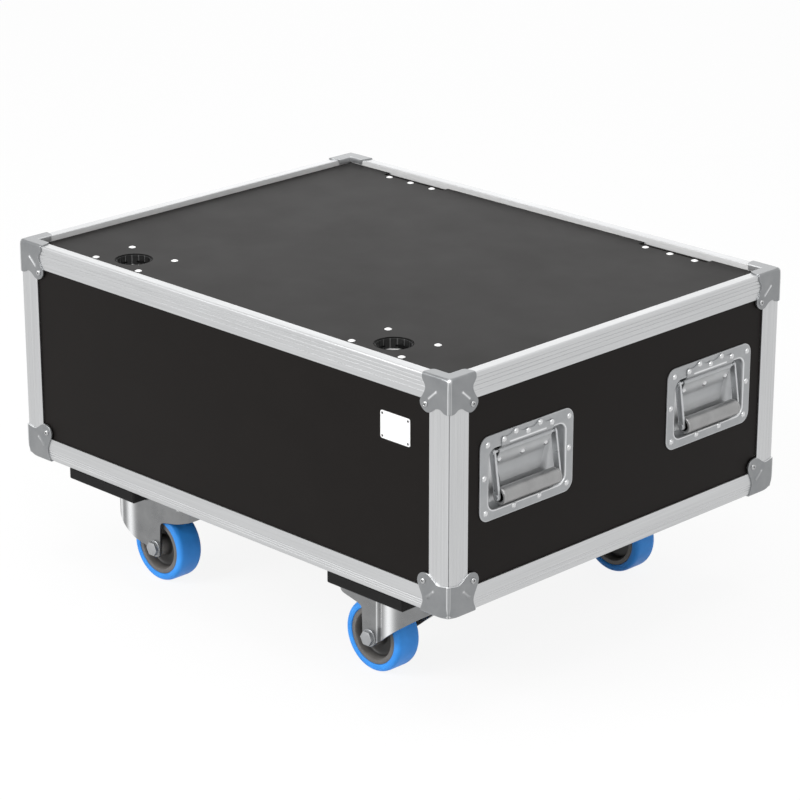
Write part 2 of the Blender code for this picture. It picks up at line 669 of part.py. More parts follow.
def grip_cup():
    """Ribbed cup that lines a grip hole, closed below, with a flange under the board."""
    outer = GRIP_HOLE_DIAMETER / 2 - SEAT_GAP
    inner = outer - GRIP_CUP_WALL
    top = -GRIP_CUP_INSET
    under = -HATCH_THICKNESS - SEAT_GAP
    flange = extruded(rounded_rectangle(GRIP_FLANGE_LENGTH, GRIP_FLANGE_WIDTH, outer - inner + DISH_CORNER / 2),
                      under - GRIP_FLANGE_THICKNESS, under)
    sleeve = rod(outer, -GRIP_CUP_DEPTH - GRIP_CUP_FLOOR, top, 2 * ROUND_SEGMENTS)
    teeth = []
    for index in range(2 * GRIP_RIB_COUNT):
        radius = inner if index % 2 else inner - GRIP_RIB_HEIGHT
        turn = pi * index / GRIP_RIB_COUNT
        teeth.append((radius * cos(turn), radius * sin(turn)))
    bore = extruded(teeth, -GRIP_CUP_DEPTH, GRIP_CUP_DEPTH)
    return combined(flange, [("UNION", sleeve), ("DIFFERENCE", bore)])


def fixed_leaf():
    """Hinge half on the back wall: two outer knuckles, the pin and an upright leaf."""
    half = HINGE_LENGTH / 2
    middle = KNUCKLE_SHARE * HINGE_LENGTH / 2 + HINGE_CLEARANCE
    wall = HINGE_AXIS_INSET + HATCH_BACK_GAP - SEAT_GAP
    sheet = HINGE_LEAF_THICKNESS
    wing_foot = sheet / 4 - KNUCKLE_RADIUS
    leaf_half = half - HINGE_CLEARANCE
    leaf = block((-leaf_half, wall - sheet, -HINGE_LEAF_DROP), (leaf_half, wall, wing_foot + sheet / 2))
    steps = []
    for side in (-1, 1):
        low, high = sorted((side * middle, side * half))
        wing = block((low + SEAT_GAP, 0.0, wing_foot),
                     (high - SEAT_GAP, wall - sheet / 2, wing_foot + sheet))
        steps.append(("UNION", wing))
        steps.append(("UNION", turned_to(rod(KNUCKLE_RADIUS, low, high, SMALL_SEGMENTS), "X")))
    pin = turned_to(rod(HINGE_PIN_RADIUS, -half + sheet, half - sheet, SMALL_SEGMENTS), "X")
    return combined(leaf, steps + [("UNION", pin)])


def hatch_leaf():
    """Hinge half under the hatch: a middle knuckle on a cranked leaf."""
    half = HINGE_LENGTH / 2
    middle = KNUCKLE_SHARE * HINGE_LENGTH / 2
    sheet = HINGE_LEAF_THICKNESS
    under = HATCH_BOTTOM - SEAT_GAP - HINGE_Z
    near = -KNUCKLE_RADIUS - HINGE_CLEARANCE
    leaf = block((-half, near - HINGE_LEAF_WIDTH, under - sheet), (half, near, under))
    riser = block((-middle, near - sheet, under - sheet / 2), (middle, near / 2, 0.0))
    knuckle = turned_to(rod(KNUCKLE_RADIUS, -middle, middle, SMALL_SEGMENTS), "X")
    bore = turned_to(rod(HINGE_PIN_RADIUS + SEAT_GAP, -half, half, SMALL_SEGMENTS), "X")
    return combined(leaf, [("UNION", riser), ("UNION", knuckle), ("DIFFERENCE", bore)])


def build_hatch(board, rubber, steel):
    """The hatch, its two grip cups and its two butt hinges."""
    axis = pivot("hatch_pivot", (0.0, HINGE_Y, HINGE_Z))
    place("hatch_panel", hatch_panel(), board, parent=axis)
    cup = grip_cup()
    still = fixed_leaf()
    moving = hatch_leaf()
    for name, side in (("left", -1), ("right", 1)):
        place(f"grip_cup_{name}", cup, rubber, (side * GRIP_HOLE_X, GRIP_HOLE_Y, HATCH_TOP), parent=axis)
        spot = (side * HINGE_X, HINGE_Y, HINGE_Z)
        place(f"hatch_leaf_{name}", moving, steel, spot, parent=axis)
        place(f"hinge_leaf_{name}", still, steel, spot)


def caster_plate():
    """Top plate with the upper ball race, the kingpin and its nut under the fork's crown."""
    plate = extruded(rounded_rectangle(PLATE_LENGTH, PLATE_WIDTH, PLATE_CORNER), PLATE_UNDERSIDE, CASTER_HEIGHT)
    race_foot = PLATE_UNDERSIDE - RACE_HEIGHT
    nut_top = CROWN_UNDERSIDE - SEAT_GAP
    nut_foot = nut_top - KINGPIN_NUT_HEIGHT
    over = PLATE_UNDERSIDE + PLATE_THICKNESS / 2
    core = turned([(0.0, over), (RACE_RADIUS, over), (RACE_RADIUS, race_foot + RACE_GROOVE),
                   (RACE_RADIUS - RACE_GROOVE, race_foot), (KINGPIN_RADIUS, race_foot),
                   (KINGPIN_RADIUS, nut_top), (KINGPIN_NUT_RADIUS, nut_top),
                   (KINGPIN_NUT_RADIUS, nut_foot), (0.0, nut_foot)], ROUND_SEGMENTS)
    return combined(plate, [("UNION", core)])


def fork_plan(inset):
    """Plan of the fork about the swivel axis, drawn in by inset: a round housing and a straight tail."""
    half = WHEEL_WIDTH / 2 + FORK_SIDE_GAP + FORK_GAUGE - inset
    tail = CASTER_TRAIL + FORK_TAIL - inset
    radius = FORK_TAIL_RADIUS - inset
    housing = FORK_HOUSING_RADIUS - inset
    join = degrees(asin(half / housing))
    points = arc((tail - radius, half - radius), radius, 0, 90)
    points += arc((0.0, 0.0), housing, join, 360 - join, 2 * ARC_STEPS + 2)
    points += arc((tail - radius, radius - half), radius, 270, 360)
    return points


def fork_waste():
    """Side outline (along, up) of what is trimmed off below the crown's skirt and the legs."""
    leg = FORK_LEG_HALF_WIDTH
    nose = -FORK_HOUSING_RADIUS - FORK_TAIL_RADIUS
    tail = CASTER_TRAIL + FORK_TAIL + FORK_TAIL_RADIUS
    skirt = CROWN_TOP - FORK_SKIRT
    floor = -AXLE_HEIGHT
    points = [(nose, CROWN_TOP - FORK_NOSE_SKIRT), (-FORK_HOUSING_RADIUS, CROWN_TOP - FORK_NOSE_SKIRT)]
    points += arc((CASTER_TRAIL, AXLE_HEIGHT), leg, 222, 360, 6)
    points += [(CASTER_TRAIL + leg * 0.8, skirt - leg)]
    points += arc((CASTER_TRAIL + leg * 1.6, skirt - leg * 0.8), leg * 0.8, 180, 90, 3)
    points += [(tail, skirt + leg * 0.6), (tail, floor), (nose, floor)]
    return points


def caster_fork():
    """Pressed fork: a skirted crown, two legs and the axle bolt; origin on the swivel axis."""
    shell = extruded(fork_plan(0.0), AXLE_HEIGHT - 2 * FORK_LEG_HALF_WIDTH, CROWN_TOP)
    hollow = extruded(fork_plan(FORK_GAUGE), -AXLE_HEIGHT, CROWN_UNDERSIDE)
    half = WHEEL_WIDTH / 2 + FORK_SIDE_GAP + FORK_GAUGE
    waste = across_y(fork_waste(), -2 * half, 2 * half)
    race_top = CROWN_TOP + RACE_HEIGHT
    race = turned([(0.0, race_top), (RACE_RADIUS - RACE_GROOVE, race_top),
                   (RACE_RADIUS, race_top - RACE_GROOVE), (RACE_RADIUS, CROWN_TOP - FORK_GAUGE / 2),
                   (0.0, CROWN_TOP - FORK_GAUGE / 2)], ROUND_SEGMENTS)
    bore = rod(KINGPIN_RADIUS + AXLE_CLEARANCE, CROWN_UNDERSIDE - FORK_HEADROOM, race_top + RACE_HEIGHT)
    tip = half + AXLE_HEAD_HEIGHT
    head = AXLE_HEAD_RADIUS
    bolt = turned([(0.0, tip), (head, tip), (head, half - FORK_GAUGE / 2), (AXLE_RADIUS, half - FORK_GAUGE / 2),
                   (AXLE_RADIUS, FORK_GAUGE / 2 - half), (head, FORK_GAUGE / 2 - half), (head, -tip),
                   (0.0, -tip)], SMALL_SEGMENTS)
    turned_to(bolt, "Y", (CASTER_TRAIL, 0.0, AXLE_HEIGHT))
    return combined(shell, [("DIFFERENCE", hollow), ("DIFFERENCE", waste), ("UNION", race),
                            ("DIFFERENCE", bore), ("UNION", bolt)])


def wheel_tyre():
    """Round-shouldered tyre about its own axle, along Y."""
    radius = WHEEL_DIAMETER / 2
    half = WHEEL_WIDTH / 2
    bore = radius - TYRE_THICKNESS
    soft = TYRE_SHOULDER
    upper = [(bore, half - HUB_INSET), (radius - soft, half), (radius - soft * 0.3, half - soft * 0.45),
             (radius, half - soft * 1.3)]
    profile = upper + [(across, -along) for across, along in reversed(upper)]
    return turned_to(turned(profile, WHEEL_SEGMENTS), "Y")


def wheel_hub():
    """Dished hub with a rim, a web and a boss round the axle, along Y."""
    rim = WHEEL_DIAMETER / 2 - TYRE_THICKNESS - SEAT_GAP
    half = WHEEL_WIDTH / 2 - HUB_INSET
    boss = half + HUB_INSET + FORK_SIDE_GAP - SEAT_GAP * 2
    bore = AXLE_RADIUS + AXLE_CLEARANCE
    web = HUB_WEB / 2
    upper = [(bore, boss), (HUB_BOSS_RADIUS, boss), (HUB_BOSS_RADIUS * 1.2, web),
             (rim - HUB_RIM * 1.5, web), (rim - HUB_RIM, half), (rim, half)]
    profile = upper + [(across, -along) for across, along in reversed(upper)]
    return turned_to(turned(profile, WHEEL_SEGMENTS), "Y")


def build_casters(black, zinc, hub_grey, tyre_blue):
    """Four swivel casters on wooden blocks; each trails towards the middle of the case."""
    parts = [(caster_plate(), "caster_plate", zinc), (caster_fork(), "caster_fork", zinc)]
    wheel = [(wheel_hub(), "wheel_hub", hub_grey), (wheel_tyre(), "wheel_tyre", tyre_blue)]
    pad = block((-BLOCK_LENGTH / 2, -BLOCK_DEPTH / 2, BLOCK_BOTTOM),
                (BLOCK_LENGTH / 2, BLOCK_DEPTH / 2, BLOCK_BOTTOM + BLOCK_HEIGHT), BLOCK_EDGE, 1)
    for corner, side_x, side_y, _ in CORNERS:
        spot = (side_x * CASTER_X, side_y * CASTER_Y, 0.0)
        turn = 0 if side_x < 0 else 180
        place(f"caster_block_{corner}", pad, black, (spot[0] + side_x * BLOCK_SHIFT, spot[1], 0.0))
        for mesh, name, finish in parts:
            place(f"{name}_{corner}", mesh, finish, spot, turn)
        axle = (spot[0] - side_x * CASTER_TRAIL, spot[1], AXLE_HEIGHT)
        for mesh, name, finish in wheel:
            place(f"{name}_{corner}", mesh, finish, axle, turn)


def main():
    """Builds the whole case."""
    clear_scene()
    case = bpy.data.collections.new("road_case")
    bpy.context.scene.collection.children.link(case)
    board = material("black_laminate", (0.024, 0.021, 0.021), 0.45, 0.0)
    aluminium = material("mill_aluminium", (0.60, 0.61, 0.62), 0.38, 1.0)
    zinc = material("zinc_steel", (0.29, 0.31, 0.32), 0.42, 1.0)
    black = material("black_wood", (0.018, 0.016, 0.016), 0.60, 0.0)
    rubber = material("black_plastic", (0.015, 0.015, 0.015), 0.55, 0.0)
    grip = material("grey_grip", (0.26, 0.26, 0.25), 0.50, 0.0)
    hub_grey = material("grey_hub", (0.14, 0.13, 0.12), 0.55, 0.0)
    tyre_blue = material("blue_tyre", (0.045, 0.30, 0.79), 0.45, 0.0)
    build_panels(board)
    build_rails(aluminium)
    build_posts(aluminium)
    build_corners(zinc)
    build_handles(zinc, grip)
    build_hatch(board, rubber, zinc)
    build_casters(black, zinc, hub_grey, tyre_blue)


main()
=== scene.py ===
"""Looks of a low wheeled road case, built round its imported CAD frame.

Each operator below makes one kind of piece as numpy surfaces, gives it a procedural finish and
hangs it on the CAD body that carries it. The panel in the 3D view's sidebar lists them all.
"""

import json
import math
from collections import namedtuple
from functools import partial

import bmesh
import bpy
import numpy as np
from bpy.props import FloatProperty, FloatVectorProperty, IntProperty, PointerProperty
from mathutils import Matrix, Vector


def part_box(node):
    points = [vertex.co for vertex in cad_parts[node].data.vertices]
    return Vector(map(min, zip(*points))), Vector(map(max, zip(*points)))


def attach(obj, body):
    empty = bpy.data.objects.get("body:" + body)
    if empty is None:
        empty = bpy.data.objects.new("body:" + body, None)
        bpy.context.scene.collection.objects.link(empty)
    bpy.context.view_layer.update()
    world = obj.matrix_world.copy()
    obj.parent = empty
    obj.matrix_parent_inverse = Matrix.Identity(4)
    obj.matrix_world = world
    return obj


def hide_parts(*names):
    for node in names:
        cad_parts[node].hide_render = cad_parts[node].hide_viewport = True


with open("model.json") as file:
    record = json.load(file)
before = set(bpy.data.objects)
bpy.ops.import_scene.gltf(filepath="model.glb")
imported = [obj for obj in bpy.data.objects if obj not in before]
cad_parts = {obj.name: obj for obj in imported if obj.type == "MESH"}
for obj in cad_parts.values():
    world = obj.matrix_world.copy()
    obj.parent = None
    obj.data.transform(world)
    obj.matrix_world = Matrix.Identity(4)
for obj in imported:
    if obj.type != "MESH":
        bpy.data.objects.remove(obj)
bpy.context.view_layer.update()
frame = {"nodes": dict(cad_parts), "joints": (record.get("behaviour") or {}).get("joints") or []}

bl_info = {
    "name": "Road case looks",
    "version": (1, 0, 0),
    "blender": (4, 5, 0),
    "location": "View3D > Sidebar > Road case",
    "description": "Dresses the packed road case frame with pressed, turned and moulded pieces",
    "category": "Object",
}

MM = 0.001
CORNERS = (("front_left", -1, -1), ("front_right", 1, -1), ("back_right", 1, 1), ("back_left", -1, 1))
HANDLES = (("right_front", 1), ("right_back", 1), ("left_front", -1), ("left_back", -1))
SIDES = ("front", "right", "back", "left")


# Places read from the frame

def low(node):
    """Lowest corner of a CAD node, as an array."""
    return np.array(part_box(node)[0])


def high(node):
    """Highest corner of a CAD node, as an array."""
    return np.array(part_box(node)[1])


def joint_place(name):
    """Where a joint's axis passes, as an array."""
    return np.array(next(j["pos_m"] for j in frame["joints"] if j["name"] == name), float)


RAIL_X = high("top_rail_right")[0]
RAIL_Y = high("top_rail_back")[1]
RAIL_TOP = high("top_rail_front")[2]
RAIL_FOOT = low("base_rail_front")[2]
PANEL_X = high("right_panel")[0]
PANEL_Y = high("back_panel")[1]
DECK = high("hatch_panel")[2]


# Curves and grids

def mm(*points):
    """Points given in millimetres, as an array in metres."""
    return np.array(points, float) * MM


def bell(value, middle, width):
    """Bell curve: e to the power of minus the square of the distance from the middle over the width."""
    return np.exp(-((value - middle) / width) ** 2)


def ease(value, start, end):
    """Smooth step from 0 at the start to 1 at the end: three times the share squared less twice its cube."""
    share = np.clip((start - value) / (start - end), 0, 1)
    return share ** 2 * (3 - 2 * share)


def level(flat, height):
    """Plane points lifted to a height, or each to its own."""
    return np.column_stack([flat, np.broadcast_to(height, len(flat))])


def mirrored(half):
    """A profile (radius, height) and then its mirror image, back to front."""
    return half + [(radius, -height) for radius, height in reversed(half)]


def spline(points, steps):
    """Catmull-Rom curve: each span is the cubic through two points with slopes from its neighbours."""
    knots = np.asarray(points, float)
    ring = np.vstack([2 * knots[:1] - knots[1:2], knots, 2 * knots[-1:] - knots[-2:-1]])
    a, b, c, d = (ring[i:len(ring) - 3 + i, None] for i in range(4))
    t = np.linspace(0, 1, steps, endpoint=False)[None, :, None]
    square, cube = 2 * a - 5 * b + 4 * c - d, 3 * b - a - 3 * c + d
    curve = 0.5 * (2 * b + (c - a) * t + square * t ** 2 + cube * t ** 3)
    return np.vstack([curve.reshape(-1, knots.shape[1]), knots[-1:]])


def even(path, total):
    """A polyline drawn again with points at equal lengths along it."""
    path = np.asarray(path, float)
    along = np.concatenate([[0.0], np.cumsum(np.linalg.norm(np.diff(path, axis=0), axis=1))])
    at = np.linspace(0, along[-1], total)
    return np.stack([np.interp(at, along, path[:, k]) for k in range(path.shape[1])], axis=1)


def normals_of(path):
    """Unit normals of a plane polyline: its direction turned a quarter turn to the right."""
    way = np.gradient(path, axis=0)
    way /= np.maximum(np.linalg.norm(way, axis=1, keepdims=True), 1e-12)
    return np.stack([way[:, 1], -way[:, 0]], axis=1)


def rounded_ring(half_width, half_height, radius, steps=10):
    """Closed round-cornered rectangle: four quarter circles joined by straight runs."""
    turn = np.linspace(0, math.pi / 2, steps)
    arcs = (np.arange(4)[:, None] * math.pi / 2 + turn).ravel()
    middle = np.repeat([[1, 1], [-1, 1], [-1, -1], [1, -1]], steps, axis=0)
    middle = middle * [max(half_width - radius, 0.0), max(half_height - radius, 0.0)]
    ring = middle + radius * np.stack([np.cos(arcs), np.sin(arcs)], axis=1)
    return np.vstack([ring, ring[:1]])


def lathe(profile, segments):
    """Profile (radius, height) turned round Z: x and y are the radius times cosine and sine of the turn."""
    profile = np.asarray(profile, float)
    turn = np.linspace(0, 2 * math.pi, segments + 1)
    radius, height = profile[:, :1], profile[:, 1:]
    return np.stack([radius * np.cos(turn), radius * np.sin(turn), height + 0 * turn], axis=-1)


def dome(radius, rise, sink=0.3 * MM, segments=18):
    """Rivet head: a flattened half ball, a little narrower than its thin brim, closed underneath."""
    t = np.linspace(0, 1.25, 7)
    cap = np.stack([0.93 * radius * np.sin(t), rise * (0.12 + 0.88 * (np.cos(t) - 0.3) / 0.7)], axis=1)
    brim = [[0.96 * radius, 0.14 * rise], [radius, 0.05 * rise], [radius, -sink], [0.0, -sink]]
    return lathe(np.vstack([cap, brim]), segments)


def plate(outline, middle, foot, face, edge, rings=10):
    """Closed sheet on a star-shaped outline (closed, x and y): spokes from the middle to the outline
    at the face's height, a quarter-round rim, and the same spokes back at the foot's height."""
    spoke = np.asarray(outline, float) - middle
    reach = np.maximum(np.linalg.norm(spoke, axis=1), 1e-9)
    roll = np.linspace(0, math.pi / 2, 5)[1:]
    front = np.linspace(0, 1, rings)[:, None] * (1 - edge / reach)
    rim = 1 - edge * (1 - np.sin(roll[:, None])) / reach
    back = np.array([1.0, 0.0])[:, None] + 0 * reach
    share = np.vstack([front, rim, back])
    lift = np.concatenate([np.full(rings, face), face - edge * (1 - np.cos(roll)), [foot, foot]])
    flat = middle + share[..., None] * spoke
    return np.dstack([flat, np.broadcast_to(lift[:, None], share.shape)])


def ribbon(path, half_width, gauge, columns):
    """Sheet of even gauge bent along a path (y, z): the path pushed out along its normals by half the
    gauge on both sides, drawn across x, and pinched shut at both long edges."""
    side = normals_of(path) * gauge / 2
    t = np.concatenate([[-1], np.linspace(-1, 1, columns), [1]])
    shut = np.concatenate([[0], np.ones(columns), [0]])
    loop = np.vstack([path, path[::-1], path[:1]])
    push = np.vstack([side, -side[::-1], side[:1]])
    width = np.concatenate([half_width, half_width[::-1], half_width[:1]])
    return np.dstack([width[:, None] * t, loop[:, None] + push[:, None] * shut[:, None]])


def turn_to(grid, u, v, spot):
    """A grid moved so that its x runs along u, its y along v and its z along u cross v, from a spot."""
    u, v = np.array(u, float), np.array(v, float)
    return grid @ np.stack([u, v, np.cross(u, v)]) + np.asarray(spot, float)


def piece(name, sheets, body, look, stands_for=(), angle=38.0, painted_light_and_trim_share=None):
    """Joins point grids into one closed mesh, welds its seams and poles, and hangs it on its body.
    The share of painted light and trim, one value for each grid point, is kept as a mesh attribute for the
    finish to read; it marks painted highlights, painted shade and the dark trim of the hole liners."""
    verts, faces, base = [], [], 0
    for grid in sheets:
        rows, cols = grid.shape[:2]
        index = base + np.arange(rows * cols).reshape(rows, cols)
        quads = np.stack([index[:-1, :-1], index[:-1, 1:], index[1:, 1:], index[1:, :-1]], axis=-1)
        verts.append(grid.reshape(-1, 3))
        faces.append(quads.reshape(-1, 4))
        base += rows * cols
    mesh = bpy.data.meshes.new(name)
    mesh.from_pydata(np.vstack(verts).tolist(), [], np.vstack(faces).tolist())
    if painted_light_and_trim_share is not None:
        painted_light_and_trim = mesh.attributes.new("painted_light_and_trim_share", "FLOAT", "POINT")
        painted_light_and_trim.data.foreach_set("value", np.concatenate([np.ravel(part) for part in painted_light_and_trim_share]).astype(np.float32))
    work = bmesh.new()
    work.from_mesh(mesh)
    bmesh.ops.remove_doubles(work, verts=work.verts, dist=2e-6)
    bmesh.ops.dissolve_degenerate(work, dist=1e-6, edges=work.edges)
    bmesh.ops.recalc_face_normals(work, faces=work.faces)
    work.to_mesh(mesh)
    work.free()
    mesh.shade_smooth()
    mesh.set_sharp_from_angle(angle=math.radians(angle))
    mesh.materials.append(finish_named(look))
    thing = bpy.data.objects.new(name, mesh)
    bpy.context.scene.collection.objects.link(thing)
    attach(thing, body)
    if stands_for:
        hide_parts(*stands_for)


# Finishes

def new_material(name):
    """An empty node material; gives the material and its tree."""
    made = bpy.data.materials.new(name)
    made.use_nodes = True
    made.node_tree.nodes.clear()
    return made, made.node_tree


def shader_node(tree, kind, inputs=(), **traits):
    """A shader node with its traits set and each input, by name or number, linked to an output or set."""
    made = tree.nodes.new("ShaderNode" + kind)
    for name, value in traits.items():
        setattr(made, name, value)
    for key, value in dict(inputs).items():
        if isinstance(value, bpy.types.NodeSocket):
            tree.links.new(value, made.inputs[key])
        else:
            made.inputs[key].default_value = value
    return made


def noise(tree, grain, detail):
    """Noise over object coordinates, with one scale for all axes or one for each; gives its value socket."""
    where = shader_node(tree, "TexCoord").outputs["Object"]
    scale = np.broadcast_to(grain, 3).tolist()
    scaled = shader_node(tree, "Mapping", {"Vector": where, "Scale": scale}).outputs["Vector"]
    cloud = {"Vector": scaled, "Scale": 1.0, "Detail": detail, "Roughness": 0.55}
    return shader_node(tree, "TexNoise", cloud).outputs["Fac"]


def ranged(tree, value, start, end):
    """A value between 0.3 and 0.7 stretched to run from start to end."""
    span = {"Value": value, "From Min": 0.3, "From Max": 0.7, "To Min": start, "To Max": end}
    return shader_node(tree, "MapRange", span).outputs["Result"]


def blend(tree, share, first, second):
    """A colour that runs from the first to the second with a share."""
    return shader_node(tree, "Mix", {0: share, 6: first, 7: second}, data_type="RGBA").outputs[2]


def finish(name, tones, rough, metallic, grain, tint=None, bump=0.0, depth=0.0001, specular=0.5, painted_light_and_trim=None,
           gloss=(1.0, 1.0, 1.0)):
    """Procedural finish: colour from one noise, roughness from a second and bump from the grain; where the
    mesh carries the attribute of painted light and trim, the colour runs on to a second colour: a painted
    highlight on the corners, dishes and forks, painted shade in the hub dishes and under the hole floors,
    and the dark lip and flange of the hole liners."""
    made, tree = new_material(name)
    dark, light = tones
    fine = noise(tree, grain, 3.0)
    broad = noise(tree, tint or 9, 4.0)
    share = ranged(tree, broad if tint else fine, 0.0, 1.0)
    colour = blend(tree, share, (*dark, 1.0), (*light, 1.0))
    if painted_light_and_trim:
        painted_light_and_trim_share = shader_node(tree, "Attribute", attribute_name="painted_light_and_trim_share").outputs["Fac"]
        colour = blend(tree, painted_light_and_trim_share, colour, (*painted_light_and_trim, 1.0))
    skin = {"Base Color": colour, "Roughness": ranged(tree, broad, *rough), "Metallic": metallic,
            "Specular IOR Level": specular, "Specular Tint": (*gloss, 1.0)}
    if bump:
        dent = {"Strength": bump, "Distance": depth, "Height": fine}
        skin["Normal"] = shader_node(tree, "Bump", dent).outputs["Normal"]
    shader = shader_node(tree, "BsdfPrincipled", skin)
    shader_node(tree, "OutputMaterial", {"Surface": shader.outputs["BSDF"]})
    return made


def grey(value, warm=0.0):
    """A grey colour, a little warmer or cooler."""
    return (value * (1 + warm), value, value * (1 - warm))


def greys(dark, light, warm=0.0):
    """Darker and lighter tone of a grey finish."""
    return grey(dark, warm), grey(light, warm)


def make_finishes(tones):
    """All finishes, by name. After the tones come the roughness range, metallic, the scale of the grain and
    of the tint's noise, the bump's strength and depth, the specular level and the colour of the painted
    light and trim."""
    pair = tones.pair
    made = {}
    for axis, grain in (("x", (4, 420, 420)), ("y", (420, 4, 420)), ("z", (420, 420, 4))):
        made["rail_" + axis] = finish("aluminium_" + axis, pair("rail"), (0.34, 0.42), 1.0, grain)
    laminate = partial(finish, gloss=(1.0, 0.85, 0.82))
    made["board"] = laminate("black_laminate", pair("board"), (0.40, 0.45), 0.0, 900, 14, 0.06, 0.0002, 0.11)
    made["deck"] = laminate("black_deck", pair("deck"), (0.40, 0.44), 0.0, 900, 14, 0.05, 0.0002, 0.06)
    # The corners run on to a light grey along their painted highlights
    made["corner"] = finish("zinc_corner", pair("corner"), (0.28, 0.38), 0.9, 300, 35, 0.04,
                            painted_light_and_trim=grey(0.80, -0.01))
    # The dish and strap run on to near white where they are painted light
    made["dish"] = finish("zinc_dish", pair("dish"), (0.40, 0.50), 0.9, 260, 40, 0.05, painted_light_and_trim=grey(0.88, -0.01))
    made["grip"] = finish("grey_grip", pair("grip"), (0.30, 0.38), 1.0, 500, 50, 0.06, 0.0002)
    # Painted shade: a near black for the linings of the grip's hollow ends
    made["bore"] = finish("painted_shade_grip_bore", greys(0.004, 0.008), (0.6, 0.7), 0.0, 500, 50, 0.05, specular=0.1)
    # The fork runs on to near white along its painted highlights
    made["fork"] = finish("zinc_fork", pair("fork"), (0.24, 0.34), 1.0, 240, 45, 0.05, painted_light_and_trim=grey(0.90, -0.01))
    made["leg"] = finish("zinc_leg", greys(0.52, 0.60, -0.02), (0.26, 0.34), 0.8, 400, 60, 0.04)
    made["rim"] = finish("rim_lining", greys(0.74, 0.82), (0.38, 0.46), 0.2, (60, 60, 420), None, 0.03)
    made["rivet"] = finish("bright_rivet", greys(0.80, 0.88), (0.25, 0.35), 0.35, 700, None, 0.03)
    made["zinc_rivet"] = finish("zinc_rivet", greys(0.60, 0.68, -0.01), (0.18, 0.26), 0.9, 700, None, 0.03)
    made["ear_rivet"] = finish("ear_rivet", greys(0.40, 0.48, -0.01), (0.18, 0.26), 0.9, 700, None, 0.03)
    made["dark_rivet"] = finish("dark_rivet", greys(0.05, 0.09), (0.3, 0.45), 0.8, 600, None, 0.05)
    made["cup"] = finish("black_plastic", greys(0.006, 0.012), (0.45, 0.6), 0.0, 800, 80, 0.1, specular=0.3)
    made["liner"] = finish("grey_liner", greys(0.11, 0.15), (0.4, 0.5), 0.0, 500, 80, 0.05, specular=0.04,
                           painted_light_and_trim=grey(0.004))
    # The hole floor runs on to near black where its underside is painted shade
    made["hole_floor"] = finish("hole_floor", greys(0.66, 0.76), (0.4, 0.5), 0.0, (60, 60, 420), None, 0.03,
                                specular=0.2, painted_light_and_trim=grey(0.006))
    made["block"] = finish("black_block", greys(0.005, 0.009), (0.5, 0.65), 0.0, (500, 60, 500), 40, 0.2,
                           0.0003, 0.15)
    # The hub runs on to near black where its dish is painted shade
    made["hub"] = finish("grey_nylon", pair("hub"), (0.42, 0.55), 0.0, 700, 50, 0.08, specular=0.4,
                         painted_light_and_trim=grey(0.012))
    made["tyre"] = finish("blue_tyre", pair("tyre"), (0.42, 0.52), 0.0, 600, 40, 0.10, 0.0002, 0.35)
    made["badge"] = finish("bare_badge", greys(0.78, 0.86), (0.3, 0.4), 0.0, 600, 60, 0.03)
    return made


FINISH = {}


def finish_named(look):
    """One of the finishes, which are all made on first use."""
    if not FINISH:
        FINISH.update(make_finishes(bpy.context.scene.roadcase_finishes))
    return FINISH[look]


def paint(node, look):
    """Gives a CAD node one of the finishes in place of its plain colour."""
    mesh = frame["nodes"][node].data
    mesh.materials.clear()
    mesh.materials.append(finish_named(look))


# Settings

def length(name, description, default):
    """A length, in metres."""
    return FloatProperty(name=name, description=description, default=default, unit="LENGTH")


def count(name, description, default):
    """A whole number."""
    return IntProperty(name=name, description=description, default=default, subtype="UNSIGNED")


def tone(part, kind, default):
    """The darker or lighter tone of a part's finish."""
    return FloatVectorProperty(name=f"{part}, {kind}", description=f"The {kind} tone of the {part.lower()}",
                               default=default, min=0.0, max=1.0, subtype="COLOR")


class FinishSettings(bpy.types.PropertyGroup):
    """Tones of the main finishes"""
    rail_dark: tone("Rails", "darker", grey(0.54, -0.01))
    rail_light: tone("Rails", "lighter", grey(0.61, -0.01))
    board_dark: tone("Boards", "darker", grey(0.0040, 0.10))
    board_light: tone("Boards", "lighter", grey(0.0052, 0.10))
    deck_dark: tone("Hatch", "darker", grey(0.0036, 0.08))
    deck_light: tone("Hatch", "lighter", grey(0.0046, 0.08))
    corner_dark: tone("Corners", "darker", grey(0.25, -0.03))
    corner_light: tone("Corners", "lighter", grey(0.30, -0.02))
    dish_dark: tone("Handle dishes", "darker", grey(0.36, -0.025))
    dish_light: tone("Handle dishes", "lighter", grey(0.42, -0.02))
    grip_dark: tone("Grips", "darker", grey(0.30))
    grip_light: tone("Grips", "lighter", grey(0.36))
    fork_dark: tone("Caster forks", "darker", grey(0.22, -0.015))
    fork_light: tone("Caster forks", "lighter", grey(0.27, -0.01))
    hub_dark: tone("Wheel hubs", "darker", grey(0.115, 0.05))
    hub_light: tone("Wheel hubs", "lighter", grey(0.145, 0.05))
    tyre_dark: tone("Tyres", "darker", (0.026, 0.255, 0.76))
    tyre_light: tone("Tyres", "lighter", (0.040, 0.315, 0.88))

    def pair(self, part):
        """Darker and lighter tone of one finish."""
        return getattr(self, part + "_dark"), getattr(self, part + "_light")


class RailSettings(bpy.types.PropertyGroup):
    """Section of the base rails"""
    wall: length("Wall", "Thickness of the base rail", 0.002)
    edge: length("Edge", "Outer radius of the base rail's edge", 0.003)
    pitch: length("Pitch", "Distance between the grooves", 0.00315)
    depth: length("Depth", "Depth of the grooves", 0.00045)
    first: length("First", "Height of the lowest crest", 0.0062)
    crests: count("Crests", "Crests between the grooves", 4)


